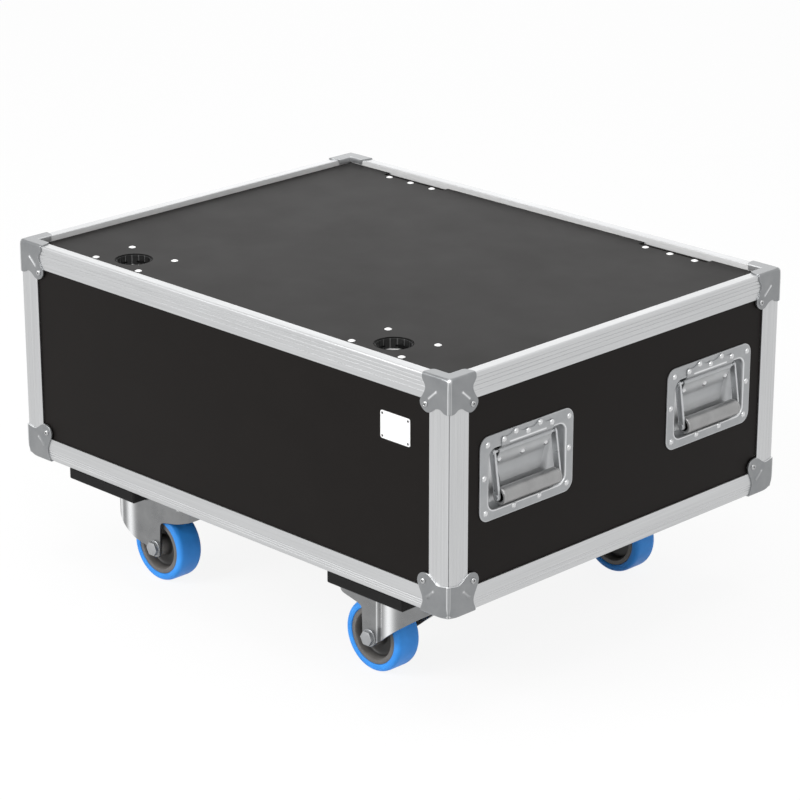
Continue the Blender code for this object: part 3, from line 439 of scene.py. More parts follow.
class CornerSettings(bpy.types.PropertyGroup):
    """Sheet, folds and rib of the pressed corners"""
    gauge: length("Gauge", "Thickness of the pressed sheet", 0.0015)
    seat: length("Seat", "Gap between the sheet and the rails", 0.0003)
    fold: length("Fold", "Inside radius of the folds", 0.0016)
    tip: length("Tip", "How much rounder the folds grow towards the tip", 0.0012)
    edge: length("Edge", "Rounding of the sheet's cut edge", 0.0006)
    rib: length("Rib", "Height of the pressed rib", 0.0011)
    spokes: count("Spokes", "Spokes on each of the three faces", 80)


class HandleSettings(bpy.types.PropertyGroup):
    """Sizes of the recessed handles"""
    width: length("Width", "Width of the dish's flange", 0.172)
    height: length("Height", "Height of the dish's flange", 0.1135)
    recess_width: length("Recess width", "Width of the recess", 0.1415)
    recess_height: length("Recess height", "Height of the recess", 0.082)
    recess_depth: length("Recess depth", "Depth of the recess", 0.013)
    strap_width: length("Strap width", "Width of the strap that holds the rod", 0.096)
    grip: length("Grip", "Diameter of the grip", 0.022)


class CasterSettings(bpy.types.PropertyGroup):
    """Sizes of the swivel casters"""
    wheel: length("Wheel", "Diameter of the wheel", 0.100)
    half_width: length("Fork half width", "From the middle to the fork's side", 0.0258)
    housing: length("Housing", "Radius of the fork's round swivel housing", 0.0365)
    race: length("Race", "Height of the swivel race on the crown", 0.00695)
    gauge: length("Gauge", "Thickness of the fork's sheet", 0.003)
    bore: length("Bore", "Radius of the kingpin's hole in the crown", 0.007)
    segments: count("Segments", "Segments round the wheel", 96)


class HatchSettings(bpy.types.PropertyGroup):
    """Grip holes and rivets of the hatch"""
    hole: length("Hole", "Diameter of the grip holes", 0.052)
    teeth: count("Teeth", "Blocks round a grip hole's wall", 16)
    rivet: length("Rivet", "Diameter of the rivet heads", 0.0098)


class StageSettings(bpy.types.PropertyGroup):
    """Light and lens"""
    key: FloatProperty(name="Key", description="Power of the key light", default=150.0, unit="POWER")
    fill: FloatProperty(name="Fill", description="Strength of the sky for diffuse light", default=0.55,
                        subtype="FACTOR")
    lens: FloatProperty(name="Lens", description="Focal length of the camera", default=138.34, unit="CAMERA")


# Pressed corners

# Fold of a top corner's cap down the rim's inner wall: the wall's place from the outer face, where the fold
# ends along the rails, how deep it reaches, the centre of its rounding in the corner and its radius
CapFold = namedtuple("CapFold", "wall end drop centre roll")
CAP_FOLD = CapFold(wall=0.0178, end=0.0412, drop=0.0062, centre=0.0193, roll=0.0015)
TIP_REACH = 9 * MM
RIB_RADIUS = 2.9 * MM
SHEET_ROWS = 60
UNDER_ROWS = 16
CROWDING = 1.15


def folded_out(points, lift, fold, swell):
    """Rounds a sharp box corner: each point is drawn back to the nearest point of a box set in by the fold
    radius, then pushed out from there, along the line between the two, to the fold radius and lift. The
    fold radius grows towards the tip as a bell curve of the distance from it."""
    radius = fold + swell * bell(np.linalg.norm(points, axis=-1, keepdims=True), 0, TIP_REACH)
    inner = np.maximum(points, radius)
    away = points - inner
    size = np.maximum(np.linalg.norm(away, axis=-1, keepdims=True), 1e-9)
    return inner + away / size * (radius + np.broadcast_to(lift, points.shape[:-1])[..., None])


def reach_at(outline, angles):
    """Reach of a star-shaped outline from the corner's tip at each angle."""
    fine = even(outline, 900)
    return np.interp(angles, np.arctan2(fine[:, 1], fine[:, 0]), np.hypot(fine[:, 0], fine[:, 1]))


def capsule(a, w, start, end, radius, rise):
    """Height of a pressed rib: a smooth swell that falls to nothing at a radius from a line."""
    way = end - start
    share = np.clip(((a - start[0]) * way[0] + (w - start[1]) * way[1]) / (way @ way), 0, 1)
    gap = np.hypot(a - start[0] - share * way[0], w - start[1] - share * way[1])
    return rise * 0.5 * (1 + np.cos(math.pi * np.clip(gap / radius, 0, 1)))


def cap_fold_rows(tip, quarter, sizes, lining):
    """The cap's fold at each spoke: its end is pushed out round a quarter circle, down to the drop and back
    by the gauge. Gives those rows and the row on the underside where the fold starts."""
    flat = tip[:, :2]
    push = np.maximum(lining.centre - flat, 0)
    push /= np.maximum(np.linalg.norm(push, axis=1, keepdims=True), 1e-9)
    thin = lining.roll - sizes.gauge
    out = np.concatenate([lining.roll * np.sin(quarter), [lining.roll, thin]])
    start = -(sizes.seat + sizes.gauge)
    depth = np.concatenate([start + lining.roll * (1 - np.cos(quarter)), [lining.drop, lining.drop]])
    depth = np.broadcast_to(depth[:, None], (len(out), len(flat)))
    return np.dstack([flat + out[:, None, None] * push, depth]), level(flat + thin * push, -sizes.seat)


def corner_sheet(side, cap, rib_line, sizes, swell, painted_rib_highlight, lining=None):
    """One pressed corner as a polar sheet about its tip, with its painted highlights. Spokes run along the
    three faces out to their outlines, the faces are folded round their edges, and the rim is rolled back to
    the underside. Where there is a lining, the spokes of the cap fold on down the rim's inner wall.
    The painted highlight is a bell curve of the distance from the upright fold, the tip and the rib's crest."""
    folded = partial(folded_out, fold=sizes.fold, swell=swell)
    seat, face = sizes.seat, sizes.seat + sizes.gauge
    psi = math.pi / 4 * (1 - np.cos(np.linspace(0, math.pi, sizes.spokes)))
    nil, c, s = 0 * psi, np.cos(psi), np.sin(psi)
    way = np.vstack([np.stack([c, nil, s], 1), np.stack([nil, c, s], 1)[::-1], np.stack([s, c, nil], 1)])
    reach_side = reach_at(side, psi)
    reach = np.concatenate([reach_side, reach_side[::-1], reach_at(cap, psi)])
    tip = way * reach[:, None]
    lined = np.zeros(len(reach), bool)
    if lining:
        on_cap = np.arange(len(reach)) >= 2 * len(psi)
        past_wall = tip[:, :2].min(1) > lining.wall - lining.roll - 0.01 * MM
        lined = on_cap & past_wall & (tip[:, :2].max(1) < lining.end)
    share = np.linspace(0, 1, SHEET_ROWS) ** CROWDING
    front = share[:, None, None] * (way * (reach - np.where(lined, 0.0, sizes.edge))[:, None])
    along, down = np.maximum(front[..., 0], front[..., 1]), front[..., 2]
    far = np.linalg.norm(front, axis=-1)
    lift = capsule(along, down, *rib_line, RIB_RADIUS, sizes.rib)
    # Painted highlights: along the upright fold, stronger on one side leaf than the other, none on the cap
    # and fading near the tip; over the rib's crest and at the rib's end
    painted_fold_weight = np.repeat([0.70, 0.30, 0.0], len(psi)) * (1 - bell(far, 0, swell))
    painted_fold_line = bell(along, sizes.fold, 0.5 * MM) + 0.3 * bell(along, 0, sizes.fold)
    painted_rib_end = bell(np.hypot(along - rib_line[0][0], down - rib_line[0][1]), 0, 1.3 * MM)
    painted_light_and_trim_share = painted_fold_weight * painted_fold_line + painted_rib_highlight * (lift / sizes.rib) ** 3 + 0.6 * painted_rib_end
    quarter = np.linspace(0, math.pi / 2, 5)[1:]
    roll = tip - sizes.edge * (1 - np.sin(quarter))[:, None, None] * way
    rim = folded(roll, (face - sizes.edge * (1 - np.cos(quarter)))[:, None])
    under = folded(tip, seat - 1.2 * MM)
    rim = np.concatenate([rim, under[None], under[None]])
    # The rim is painted light where it faces up, and along the lining
    painted_rim_highlight = np.where(way[:, 2] > 0.8, 0.9, 0.08)
    if lining:
        bent, inside = cap_fold_rows(tip, quarter, sizes, lining)
        rim = np.where(lined[None, :, None], bent, rim)
        under = np.where(lined[:, None], inside, under)
        # A painted highlight at the tip
        painted_light_and_trim_share = painted_light_and_trim_share + 0.9 * bell(far, 0, 2.4 * MM)
        painted_rim_highlight = np.where(lined, 0.55, 0.08)
    back = np.linspace(1, 0, UNDER_ROWS)[1:, None, None] ** CROWDING * tip
    rows = [folded(front, face + lift), rim, under[None], folded(back, seat)]
    painted_light_and_trim_share = [painted_light_and_trim_share, np.broadcast_to(painted_rim_highlight, rim.shape[:2]), np.zeros((UNDER_ROWS, len(reach)))]
    return np.concatenate(rows), np.clip(np.concatenate(painted_light_and_trim_share), 0, 1)


def corner_outlines(lining):
    """Outlines of the top and base corners, each as (side leaf, cap) in distances from the tip."""
    top_side = spline(mm(
        (45.4, 0), (45.6, 5.6), (43.2, 10.2), (40.4, 14.3), (40.6, 20), (44.6, 28), (48.8, 34.5),
        (48.6, 40.5), (44.3, 45.8), (39, 48.6), (33.6, 48.6), (29.2, 46.2), (25, 42.8), (18.8, 40.4),
        (13.4, 40.9), (9.6, 43.3), (5.6, 44.6), (0, 44.4)), 12)
    ring = lining.wall - lining.roll
    turn = np.linspace(0, math.pi / 4, 8)
    bend = lining.centre - (lining.centre - ring) * np.stack([np.sin(turn), np.cos(turn)], 1)
    nose = spline(mm((45.4, 0), (46.2, 4.5), (45, 10.5)), 8)
    step = [(lining.end + 2 * MM, ring - 0.8 * MM), (lining.end + 0.5 * MM, ring)]
    half = np.vstack([nose, step, bend])
    top_cap = np.vstack([half, half[::-1, ::-1]])
    base_side = spline(mm(
        (48.4, 0), (47.6, 2.2), (46.2, 5.6), (44.2, 11), (43.8, 15.5), (45.2, 21.5), (48.8, 29), (52, 35.5),
        (53, 41), (51, 46.8), (46.8, 50.8), (41.6, 52.4), (36, 52.4), (31.2, 50.4), (26, 46.6), (20.8, 43.2),
        (16.6, 41.8), (10, 42.4), (4, 43.6), (0, 44.2)), 10)
    base_cap = mm((48.4, 0), (48.5, 24.25), (36.4, 36.4), (24.25, 48.5), (0, 48.4))
    return (top_side, top_cap), (base_side, base_cap)


class ROADCASE_OT_corners(bpy.types.Operator):
    """Makes the eight pressed corners, with their ribs and ear rivets"""
    bl_idname = "roadcase.corners"
    bl_label = "Pressed corners"

    def execute(self, context):
        sizes = context.scene.roadcase_corners
        top, base = corner_outlines(CAP_FOLD)
        # The number after the swell is the strength of the rib's painted highlight, strong on top and faint
        # at the base
        over = corner_sheet(*top, mm((21.1, 19.1), (33.5, 30.1)), sizes, sizes.tip, 0.95, CAP_FOLD)
        under = corner_sheet(*base, mm((24.8, 31.1), (35.9, 20.7)), sizes, 6 * sizes.tip, 0.3)
        kinds = (("top", over, RAIL_TOP, -1, mm(39.6, 38.6)), ("base", under, RAIL_FOOT, 1, mm(42.6, 41.0)))
        face = sizes.seat + sizes.gauge
        head = lathe(mm((0, 1.3), (1.2, 1.3), (1.5, 2.0), (2.2, 2.3), (3.2, 1.9), (3.9, 1.1), (4.2, 0.3),
                        (4.2, -0.3), (0, -0.3)), 24)
        pin = lathe(mm((0, 1.5), (1.3, 1.5), (1.3, 0.6), (0, 0.6)), 12)
        for name, sx, sy in CORNERS:
            for kind, (grid, painted_light_and_trim_share), height, up, (a, w) in kinds:
                spot = np.array([sx * RAIL_X, sy * RAIL_Y, height])
                way = np.array([-sx, -sy, up])
                node = f"{kind}_corner_{name}"
                piece(f"pressed_{node}", [spot + way * grid], "case", "corner", [node], 30, [painted_light_and_trim_share])
                for part, turned, look in (("rivets", head, "ear_rivet"), ("pins", pin, "dark_rivet")):
                    on_y = turn_to(turned, (sy, 0, 0), (0, 0, -1), spot + way * [a, -face, w])
                    on_x = turn_to(turned, (0, sx, 0), (0, 0, 1), spot + way * [-face, a, w])
                    piece(f"ear_{part}_{node}", [on_y, on_x], "case", look)
        return {"FINISHED"}


# Handles

# Height and depth of the handle's rod and grip in the dish's own frame, in millimetres
ROD = (30.0, -5.0)
GRIP = (-27.5, 3.8)


def dish_sheet(sizes):
    """Pressed dish and its painted light: round-cornered rectangles of changing size and height from the
    recess floor over the beaded rim and the flange, round its edge and back under the pan. Each row of a
    table gives the growth from the recess or flange, the corner radius, the height and the painted highlight.
    The painted light grows towards one end and the bottom, and the recess floor is painted lighter."""
    recess = (sizes.recess_width / 2 / MM, sizes.recess_height / 2 / MM, -2.5)
    flange = (sizes.width / 2 / MM, sizes.height / 2 / MM, 0.0)
    wide, tall, shift = recess
    face, foot = 1.8, 0.3
    floor = face - sizes.recess_depth / MM
    pan = floor - 1.3
    bead = [(-8.0, 6.0, floor, 0.0), (-6.0, 7.0, floor, 0.0), (-4.6, 8.0, floor + 0.6, 0.0),
            (-3.7, 8.6, floor + 2.2, 0.0), (-1.2, 10.8, face - 3.0, 0.0), (-0.5, 11.5, face - 1.0, 0.1),
            (0.1, 12.1, face + 0.2, 0.5), (0.8, 12.8, face + 0.7, 0.8), (1.5, 13.5, face + 0.7, 0.5),
            (2.3, 14.2, face + 0.3, 0.1), (3.2, 15.0, face, 0.0)]
    brim = [(-1.6, 13.4, face, 0.0), (-0.7, 14.3, face, 0.25), (-0.2, 14.8, face - 0.2, 0.35),
            (0.0, 15.0, face - 0.7, 0.2), (0.0, 15.0, foot, 0.0)]
    under = [(2.0, 13.5, foot, 0.0), (-1.6, 10.0, pan, 0.0)]
    rings = [(0.0, 0.0, 0.0, floor, 0.0, shift)]
    for (half_width, half_height, up), rows in ((recess, bead), (flange, brim), (recess, under)):
        rings += [(half_width + grow, half_height + grow, r, h, painted_light_weight, up) for grow, r, h, painted_light_weight in rows]
    rings.append((0.0, 0.0, 0.0, pan, 0.0, shift))
    grid = np.stack([level(rounded_ring(a, b, r) + [0, up], h) for a, b, r, h, _, up in rings]) * MM
    # Painted light, stronger towards one end and the bottom, and a painted lighter recess floor fading up its
    # wall
    painted_light_weight = np.clip(0.15 + np.maximum(grid[..., 0] / (wide * MM), -grid[..., 1] / (tall * MM)), 0, 1) ** 3
    inside = (np.arange(len(rings)) < 7)[:, None]
    painted_floor_light = np.interp(grid[..., 2], [floor * MM, face * MM - 2 * MM], [0.5, 0.0]) * inside
    return grid, np.array([[row[4]] for row in rings]) * painted_light_weight + painted_floor_light


def strap_sheet(sizes):
    """Strap over the rod and its painted highlights: flat on the flange up to a wavy top edge, bent in round
    the rod and sloped down to the recess floor. Its half width tapers in a line towards the foot, and two
    bell curves swell its top edge at the rivets. The painted highlights are bell curves along its length."""
    flat, base, bend_line = 2.5, -10.5, 42
    hook = np.radians(np.linspace(52, -35, 10))
    turn = ROD + 3.6 * np.column_stack([np.sin(hook), np.cos(hook)])
    top = [(v, flat) for v in (50.0, 48.0, 46.0, 44.0, 42.4)]
    bend = spline([(40.6, flat), (38.6, 2.2), (36.2, 0.6), turn[0]], 5)[:-1]
    slope = turn[-1] + np.linspace(0.1, 0.92, 10)[:, None] * ((8.0, -10.4) - turn[-1])
    foot = spline([slope[-1], (8.0, -10.2), (6.0, base)], 4)[1:]
    end = [(v, base) for v in (0.0, -8.0, -16.0)]
    path = np.vstack([top, bend, turn, slope, foot, end]) * MM
    half = np.interp(path[:, 0], mm(-16.0, 21.0), [0.75 * sizes.strap_width / 2, sizes.strap_width / 2])
    grid = ribbon(path, half, 1.4 * MM, 65)
    x, v = np.abs(grid[..., 0]) / MM, grid[..., 1] / MM
    # Painted highlights: bell curves at the bend over the rod, down the slope and at the lower end
    painted_light_and_trim_share = (0.9 * bell(v, 40.6, 0.9) * (x < 34) + 0.55 * bell(v, 19.0, 9.0) + 0.3 * bell(v, -8.0, 9.0)
             + 0.7 * bell(v, -16.0, 0.6))
    crest = 49.2 + 6.4 * bell(x, 22.3, 7.0)
    grid[..., 1] = MM * np.where(v > bend_line, bend_line + (v - bend_line) * (crest - bend_line) / 8.0, v)
    return grid, np.clip(painted_light_and_trim_share, 0, 1)


def bail_sheets(sizes):
    """Rod with two flat legs, the grip and the grip's bores, in the dish's own frame: x along the case, y up,
    z outward. Rod, grip and bores are turned. A leg is a plate on two half circles joined by lines. The
    bores are thin linings of the grip's hollow ends, painted near black as shade."""
    pivot, grip = mm(*ROD), mm(*GRIP)
    lay = partial(turn_to, u=(0, 1, 0), v=(0, 0, 1))
    bail = [lay(lathe(mm((0, -56), (2.5, -56), (2.5, 56), (0, 56)), 24), spot=(0, *pivot))]
    r = sizes.grip / 2 / MM
    core = [(0, -44), (r - 4.4, -44), (r - 4.2, -52.6), (r - 3.6, -53.4), (r - 1.2, -53.4), (r - 0.4, -52.8),
            (r, -51.6), (r, -49.6), (r - 0.5, -49.2), (r - 0.5, -48.6), (r, -48.2)]
    handle = lay(lathe(mm(*mirrored(core)), 48), spot=(0, *grip))
    bore = mm((0, -44.7), (r - 4.7, -44.7), (r - 4.4, -52.4), (r - 4.7, -52.4), (r - 5.0, -45.0), (0, -45.0))
    painted_shade_bores = [lay(lathe(bore * [1, way], 32), spot=(0, *grip)) for way in (-1, 1)]
    span = np.linalg.norm(grip - pivot)
    u = np.array([0, *(grip - pivot) / span])
    turn = np.linspace(math.pi / 2, 1.5 * math.pi, 13)
    near = 4.5 * MM * np.stack([np.cos(turn), np.sin(turn)], 1)
    slot = np.vstack([near, (span, 0) - near, near[:1]])
    leg = plate(slot, (span / 2, 0), -1.5 * MM, 1.5 * MM, 0.6 * MM, 4)
    boss = lathe(mm((0, 1.4), (3.2, 1.4), (3.6, 1.0), (3.6, -0.5), (0, -0.5)), 24)
    for side in (-1, 1):
        v = np.cross((side, 0, 0), u)
        bail.append(turn_to(leg, u, v, (side * 56.5 * MM, *pivot)))
        bail += [turn_to(boss, u, v, (side * 57.6 * MM, *end)) for end in (grip, pivot)]
    return bail, handle, painted_shade_bores


class ROADCASE_OT_handles(bpy.types.Operator):
    """Makes the four recessed handles: dish, strap, rivets and sprung bail"""
    bl_idname = "roadcase.handles"
    bl_label = "Recessed handles"

    def execute(self, context):
        sizes = context.scene.roadcase_handles
        dish, dish_painted_light = dish_sheet(sizes)
        strap, strap_painted_light = strap_sheet(sizes)
        bail, grip, painted_shade_bores = bail_sheets(sizes)
        head = dome(4.2 * MM, 2.3 * MM)
        flange, strap_top, lean = 1.8, 3.2, (0, 0.922, 0.387)
        places = [(x, -45, flange) for x in (-75, 75)] + [(x, 45, flange) for x in (-72, 78)]
        places += [(x, 2, flange) for x in (-78, 78)] + [(x, -47.5, flange) for x in (-23.5, 23.5)]
        places += [(x, 46, strap_top) for x in (-44, 0, 44)] + [(x, 51.4, strap_top) for x in (-22.3, 22.3)]
        rivets = [head + spot for spot in mm(*places)]
        rivets += [turn_to(head, (1, 0, 0), lean, mm(x, 16.4, -6.2)) for x in (-43, 0, 43)]
        for name, side in HANDLES:
            node = "handle_dish_" + name
            swing = "handle_" + name
            middle = (low(node) + high(node)) / 2
            local = partial(turn_to, u=(0, side, 0), v=(0, 0, 1), spot=(side * PANEL_X, middle[1], middle[2]))
            piece("dish_" + name, [local(dish)], "case", "dish", [node], 30, [dish_painted_light])
            piece("strap_" + name, [local(strap)], "case", "dish", (), 40, [strap_painted_light])
            piece("handle_rivets_" + name, map(local, rivets), "case", "zinc_rivet")
            piece("bail_" + name, map(local, bail), swing, "leg", ["handle_bail_" + name], 40)
            piece("grip_" + name, [local(grip)], swing, "grip", (), 40)
            piece("grip_bores_" + name, map(local, painted_shade_bores), swing, "bore", (), 40)
        return {"FINISHED"}


# Hatch

class ROADCASE_OT_grip_holes(bpy.types.Operator):
    """Makes the toothed liners and floors of the two grip holes"""
    bl_idname = "roadcase.grip_holes"
    bl_label = "Grip holes"

    def execute(self, context):
        sizes = context.scene.roadcase_hatch
        r = sizes.hole / 2
        inner = r - 2.2 * MM
        wall_turns, floor_turns = 96, 64
        # Inset from the hole and depth of the wall's section, whose lip is dark and whose inside is grey
        section = ((0.5, -0.4), (1.0, 0), (1.9, -0.3), (2.2, -1.0), (2.2, -1.4), (2.2, -16.4), (0.5, -16.4),
                   (0.5, -0.4))
        wall = lathe([(r - inset * MM, depth * MM) for inset, depth in section], wall_turns)
        lip = np.repeat([1.0, 1.0, 1.0, 1.0, 0.0, 0.0, 1.0, 1.0], wall_turns + 1)
        ring = rounded_ring(51.5 * MM, 40 * MM, 8 * MM)
        angle = np.unwrap(np.arctan2(ring[:, 1], ring[:, 0]))
        hole = (r - 0.4 * MM) * np.stack([np.cos(angle), np.sin(angle)], 1)
        over, under = -9.8 * MM, -11.5 * MM
        loop = ((hole, over), (ring, over), (ring, under), (hole, under), (hole, over))
        flange = np.stack([level(flat, height) for flat, height in loop])
        pitch = 2 * math.pi / sizes.teeth
        block = rounded_ring(0.40 * pitch * inner, 6.6 * MM, 0.5 * MM, 4)
        face = plate(block, (0, 0), -0.2 * MM, 1.0 * MM, 0.35 * MM, 8)
        turns = [face[..., 0] / inner + k * pitch for k in range(sizes.teeth)]
        out, rise = inner - face[..., 2], face[..., 1] - 7.9 * MM
        teeth = [np.dstack([out * np.cos(turn), out * np.sin(turn), rise]) for turn in turns]
        top, rim, foot = -15.0 * MM, -14.7 * MM, -16.4 * MM
        floor = lathe([(0, top), (inner - 1.5 * MM, top), (inner - 0.4 * MM, rim), (inner + 0.2 * MM, rim),
                       (inner + 0.2 * MM, foot), (0, foot)], floor_turns)
        # The floor's side and underside are painted shade
        painted_underside_shade = np.repeat([0.0, 0.0, 0.0, 0.0, 1.0, 1.0], floor_turns + 1)
        for side in ("left", "right"):
            node = "grip_cup_" + side
            middle = (low(node) + high(node)) / 2
            spot = np.array([middle[0], middle[1], DECK])
            piece("hole_liner_" + side, [spot + wall, spot + flange], "hatch", "liner",
                  painted_light_and_trim_share=[lip, np.ones(flange.shape[:2])])
            piece("hole_teeth_" + side, [spot + tooth for tooth in teeth], "hatch", "cup", [node])
            piece("hole_floor_" + side, [spot + floor], "hatch", "hole_floor", painted_light_and_trim_share=[painted_underside_shade])
        return {"FINISHED"}


class ROADCASE_OT_hatch_rivets(bpy.types.Operator):
    """Sets the rivets of the grip cups and hinges into the hatch"""
    bl_idname = "roadcase.hatch_rivets"
    bl_label = "Hatch rivets"

    def execute(self, context):
        head = dome(context.scene.roadcase_hatch.rivet / 2, 1.6 * MM, segments=32)
        deck, hole, hinge_line = DECK / MM, 251.0, 283.8
        places = []
        for x in (-hole, hole):
            places += [(x + dx, dy - hole, deck) for dx in (-44.5, 44.5) for dy in (-31.6, 33.2)]
            places += [(x + dx, hinge_line, deck) for dx in (-44, 0, 44)]
        piece("hatch_rivets", [head + spot for spot in mm(*places)], "hatch", "rivet")
        return {"FINISHED"}


class ROADCASE_OT_badge(bpy.types.Operator):
    """Sets the bare plate and its four rivets on the front panel"""
    bl_idname = "roadcase.badge"
    bl_label = "Bare plate"

    def execute(self, context):
        spot = (319.3 * MM, -PANEL_Y, RAIL_FOOT + 228.9 * MM)
        local = partial(turn_to, u=(1, 0, 0), v=(0, 0, 1), spot=spot)
        thick = 0.9
        sheet = plate(rounded_ring(26 * MM, 18.5 * MM, 3 * MM), (0, 0), -0.1 * MM, thick * MM, 0.4 * MM)
        piece("bare_plate", [local(sheet)], "case", "badge")
        head = dome(1.7 * MM, 0.7 * MM)
        pins = [local(head + mm(x, z, thick)) for x in (-22.5, 22.5) for z in (-15, 15)]
        piece("bare_plate_rivets", pins, "case", "dark_rivet")
        return {"FINISHED"}


# Casters

def fork_plan(half, housing, swivel):
    """Half outline of the fork from above, in millimetres: round the tail, along the flat leg and, after a
    small flare, round the swivel housing, at even steps that are closest along the leg."""
    tail_end, tail_round = -64, 18
    turn = np.linspace(0, math.pi / 2, 14)
    tail = np.column_stack([tail_end + tail_round - tail_round * np.cos(turn),
                            half - tail_round + tail_round * np.sin(turn)])
    flare = spline([(10.5, half), (14.5, half + 0.1), (18.5, half + 0.9), (22.0, half + 2.5)], 6)
    spread = np.linspace(math.radians(124), 0, 40)
    nose = np.column_stack([swivel + housing * np.cos(spread), housing * np.sin(spread)])
    fine = even(np.vstack([[(tail_end, 0)], tail, [(-40, half)], flare, nose]), 300)
    on_leg = np.flatnonzero((fine[:, 0] > -17) & (fine[:, 0] < 26))
    return fine[np.unique(np.concatenate([np.linspace(0, 299, 150).astype(int), on_leg]))]


def fork_half(sizes, crown, trail, right):
    """Half of the pressed fork about its axle (x to the nose, z from the floor), with its painted highlights
    and the wall of its kingpin bore. The crown falls from the plan's middle over a rolled rim into a wall
    ruled down to the side outline, and the same surfaces one gauge inside close it. Crown and ceiling start
    at the bore's circle, or at the middle line beyond it. The painted highlight sums bell curves round the
    housing and at the flare."""
    swivel, roll, gauge, edge = trail / MM, 4.0, sizes.gauge / MM, 0.5
    plan = fork_plan(sizes.half_width / MM, sizes.housing / MM, swivel)
    x = plan[:, 0]
    side = -normals_of(plan)
    side[0], side[-1] = (-1, 0), (1, 0)
    leg = spline([(-44, 98.0), (-27.7, 94.6), (-19, 92.4), (-14.6, 89.2), (-12.9, 83), (-12.5, 66),
                  (-12.3, 47)], 8)
    sweep = spline([(-12.0, 45.6), (-9.6, 40.4), (-4, 37.3), (2, 36.9), (8, 40.2), (15.2, 47.2), (31, 58),
                    (44.5, 68.8), (60, 80.8), (72, 90), (84, 99)], 8)
    lower = np.vstack([[(-66, 102.6), (-60, 101.6)], leg, sweep])
    foot = np.interp(x, lower[:, 0], lower[:, 1])
    top = crown / MM + 4.6 * ease(x, 18, 2) - 4.5 * ease(x, -38, -64)
    shoulder, ceiling = top - roll, top - 3.3
    inner = plan - side * gauge
    clear = np.sqrt(np.maximum((sizes.bore / MM) ** 2 - (x - swivel) ** 2, 0))

    def across(outer, share):
        """A line between the bore or middle line and an outline."""
        return np.column_stack([outer[:, 0], clear + share * (outer[:, 1] - clear)])

    rows = [level(across(plan, share), top) for share in (0.0, 0.35, 0.7)]
    rows += [level(plan - side * roll * (1 - math.sin(a)), top - roll * (1 - math.cos(a)))
             for a in np.linspace(0, math.pi / 2, 7)]
    rows += [level(plan, shoulder + (foot + edge - shoulder) * share) for share in np.linspace(0, 1, 16)[1:]]
    rows += [level(plan - side * depth, foot) for depth in (edge, gauge - edge)]
    rows.append(level(inner, foot + edge))
    rows += [level(inner, foot + (ceiling - foot) * share) for share in (0.5, 1.0)]
    rows += [level(across(inner, share), ceiling) for share in (0.5, 0.0)]
    round_pin = np.flatnonzero(clear)
    bore = np.stack([rows[0], rows[-1]])[:, round_pin[0] - 1:round_pin[-1] + 2]
    around = np.degrees(np.arctan2(plan[:, 1], x - swivel))
    # Painted highlight bands, placed differently on the right and left casters; weak on the crown, strongest
    # down the wall
    if right:
        painted_nose_highlight, painted_flare_highlight = bell(around, 89, 14) + 0.7 * bell(around, 117, 3), 0.8 * bell(x, 14.6, 1.3)
    else:
        painted_nose_highlight, painted_flare_highlight = bell(around, 102, 10) + 0.9 * bell(around, 71, 6), 0
    painted_highlight_band = np.where(x > 24, painted_nose_highlight, painted_flare_highlight)
    crown_weight, rim_weight, wall_weight = np.full(3, 0.1), np.linspace(0.3, 1, 7), np.ones(15)
    painted_highlight_weight = np.concatenate([crown_weight, rim_weight, wall_weight, np.full(3, 0.6), np.zeros(4)])
    return np.stack(rows) * MM, np.clip(painted_highlight_weight[:, None] * painted_highlight_band, 0, 1), bore * MM


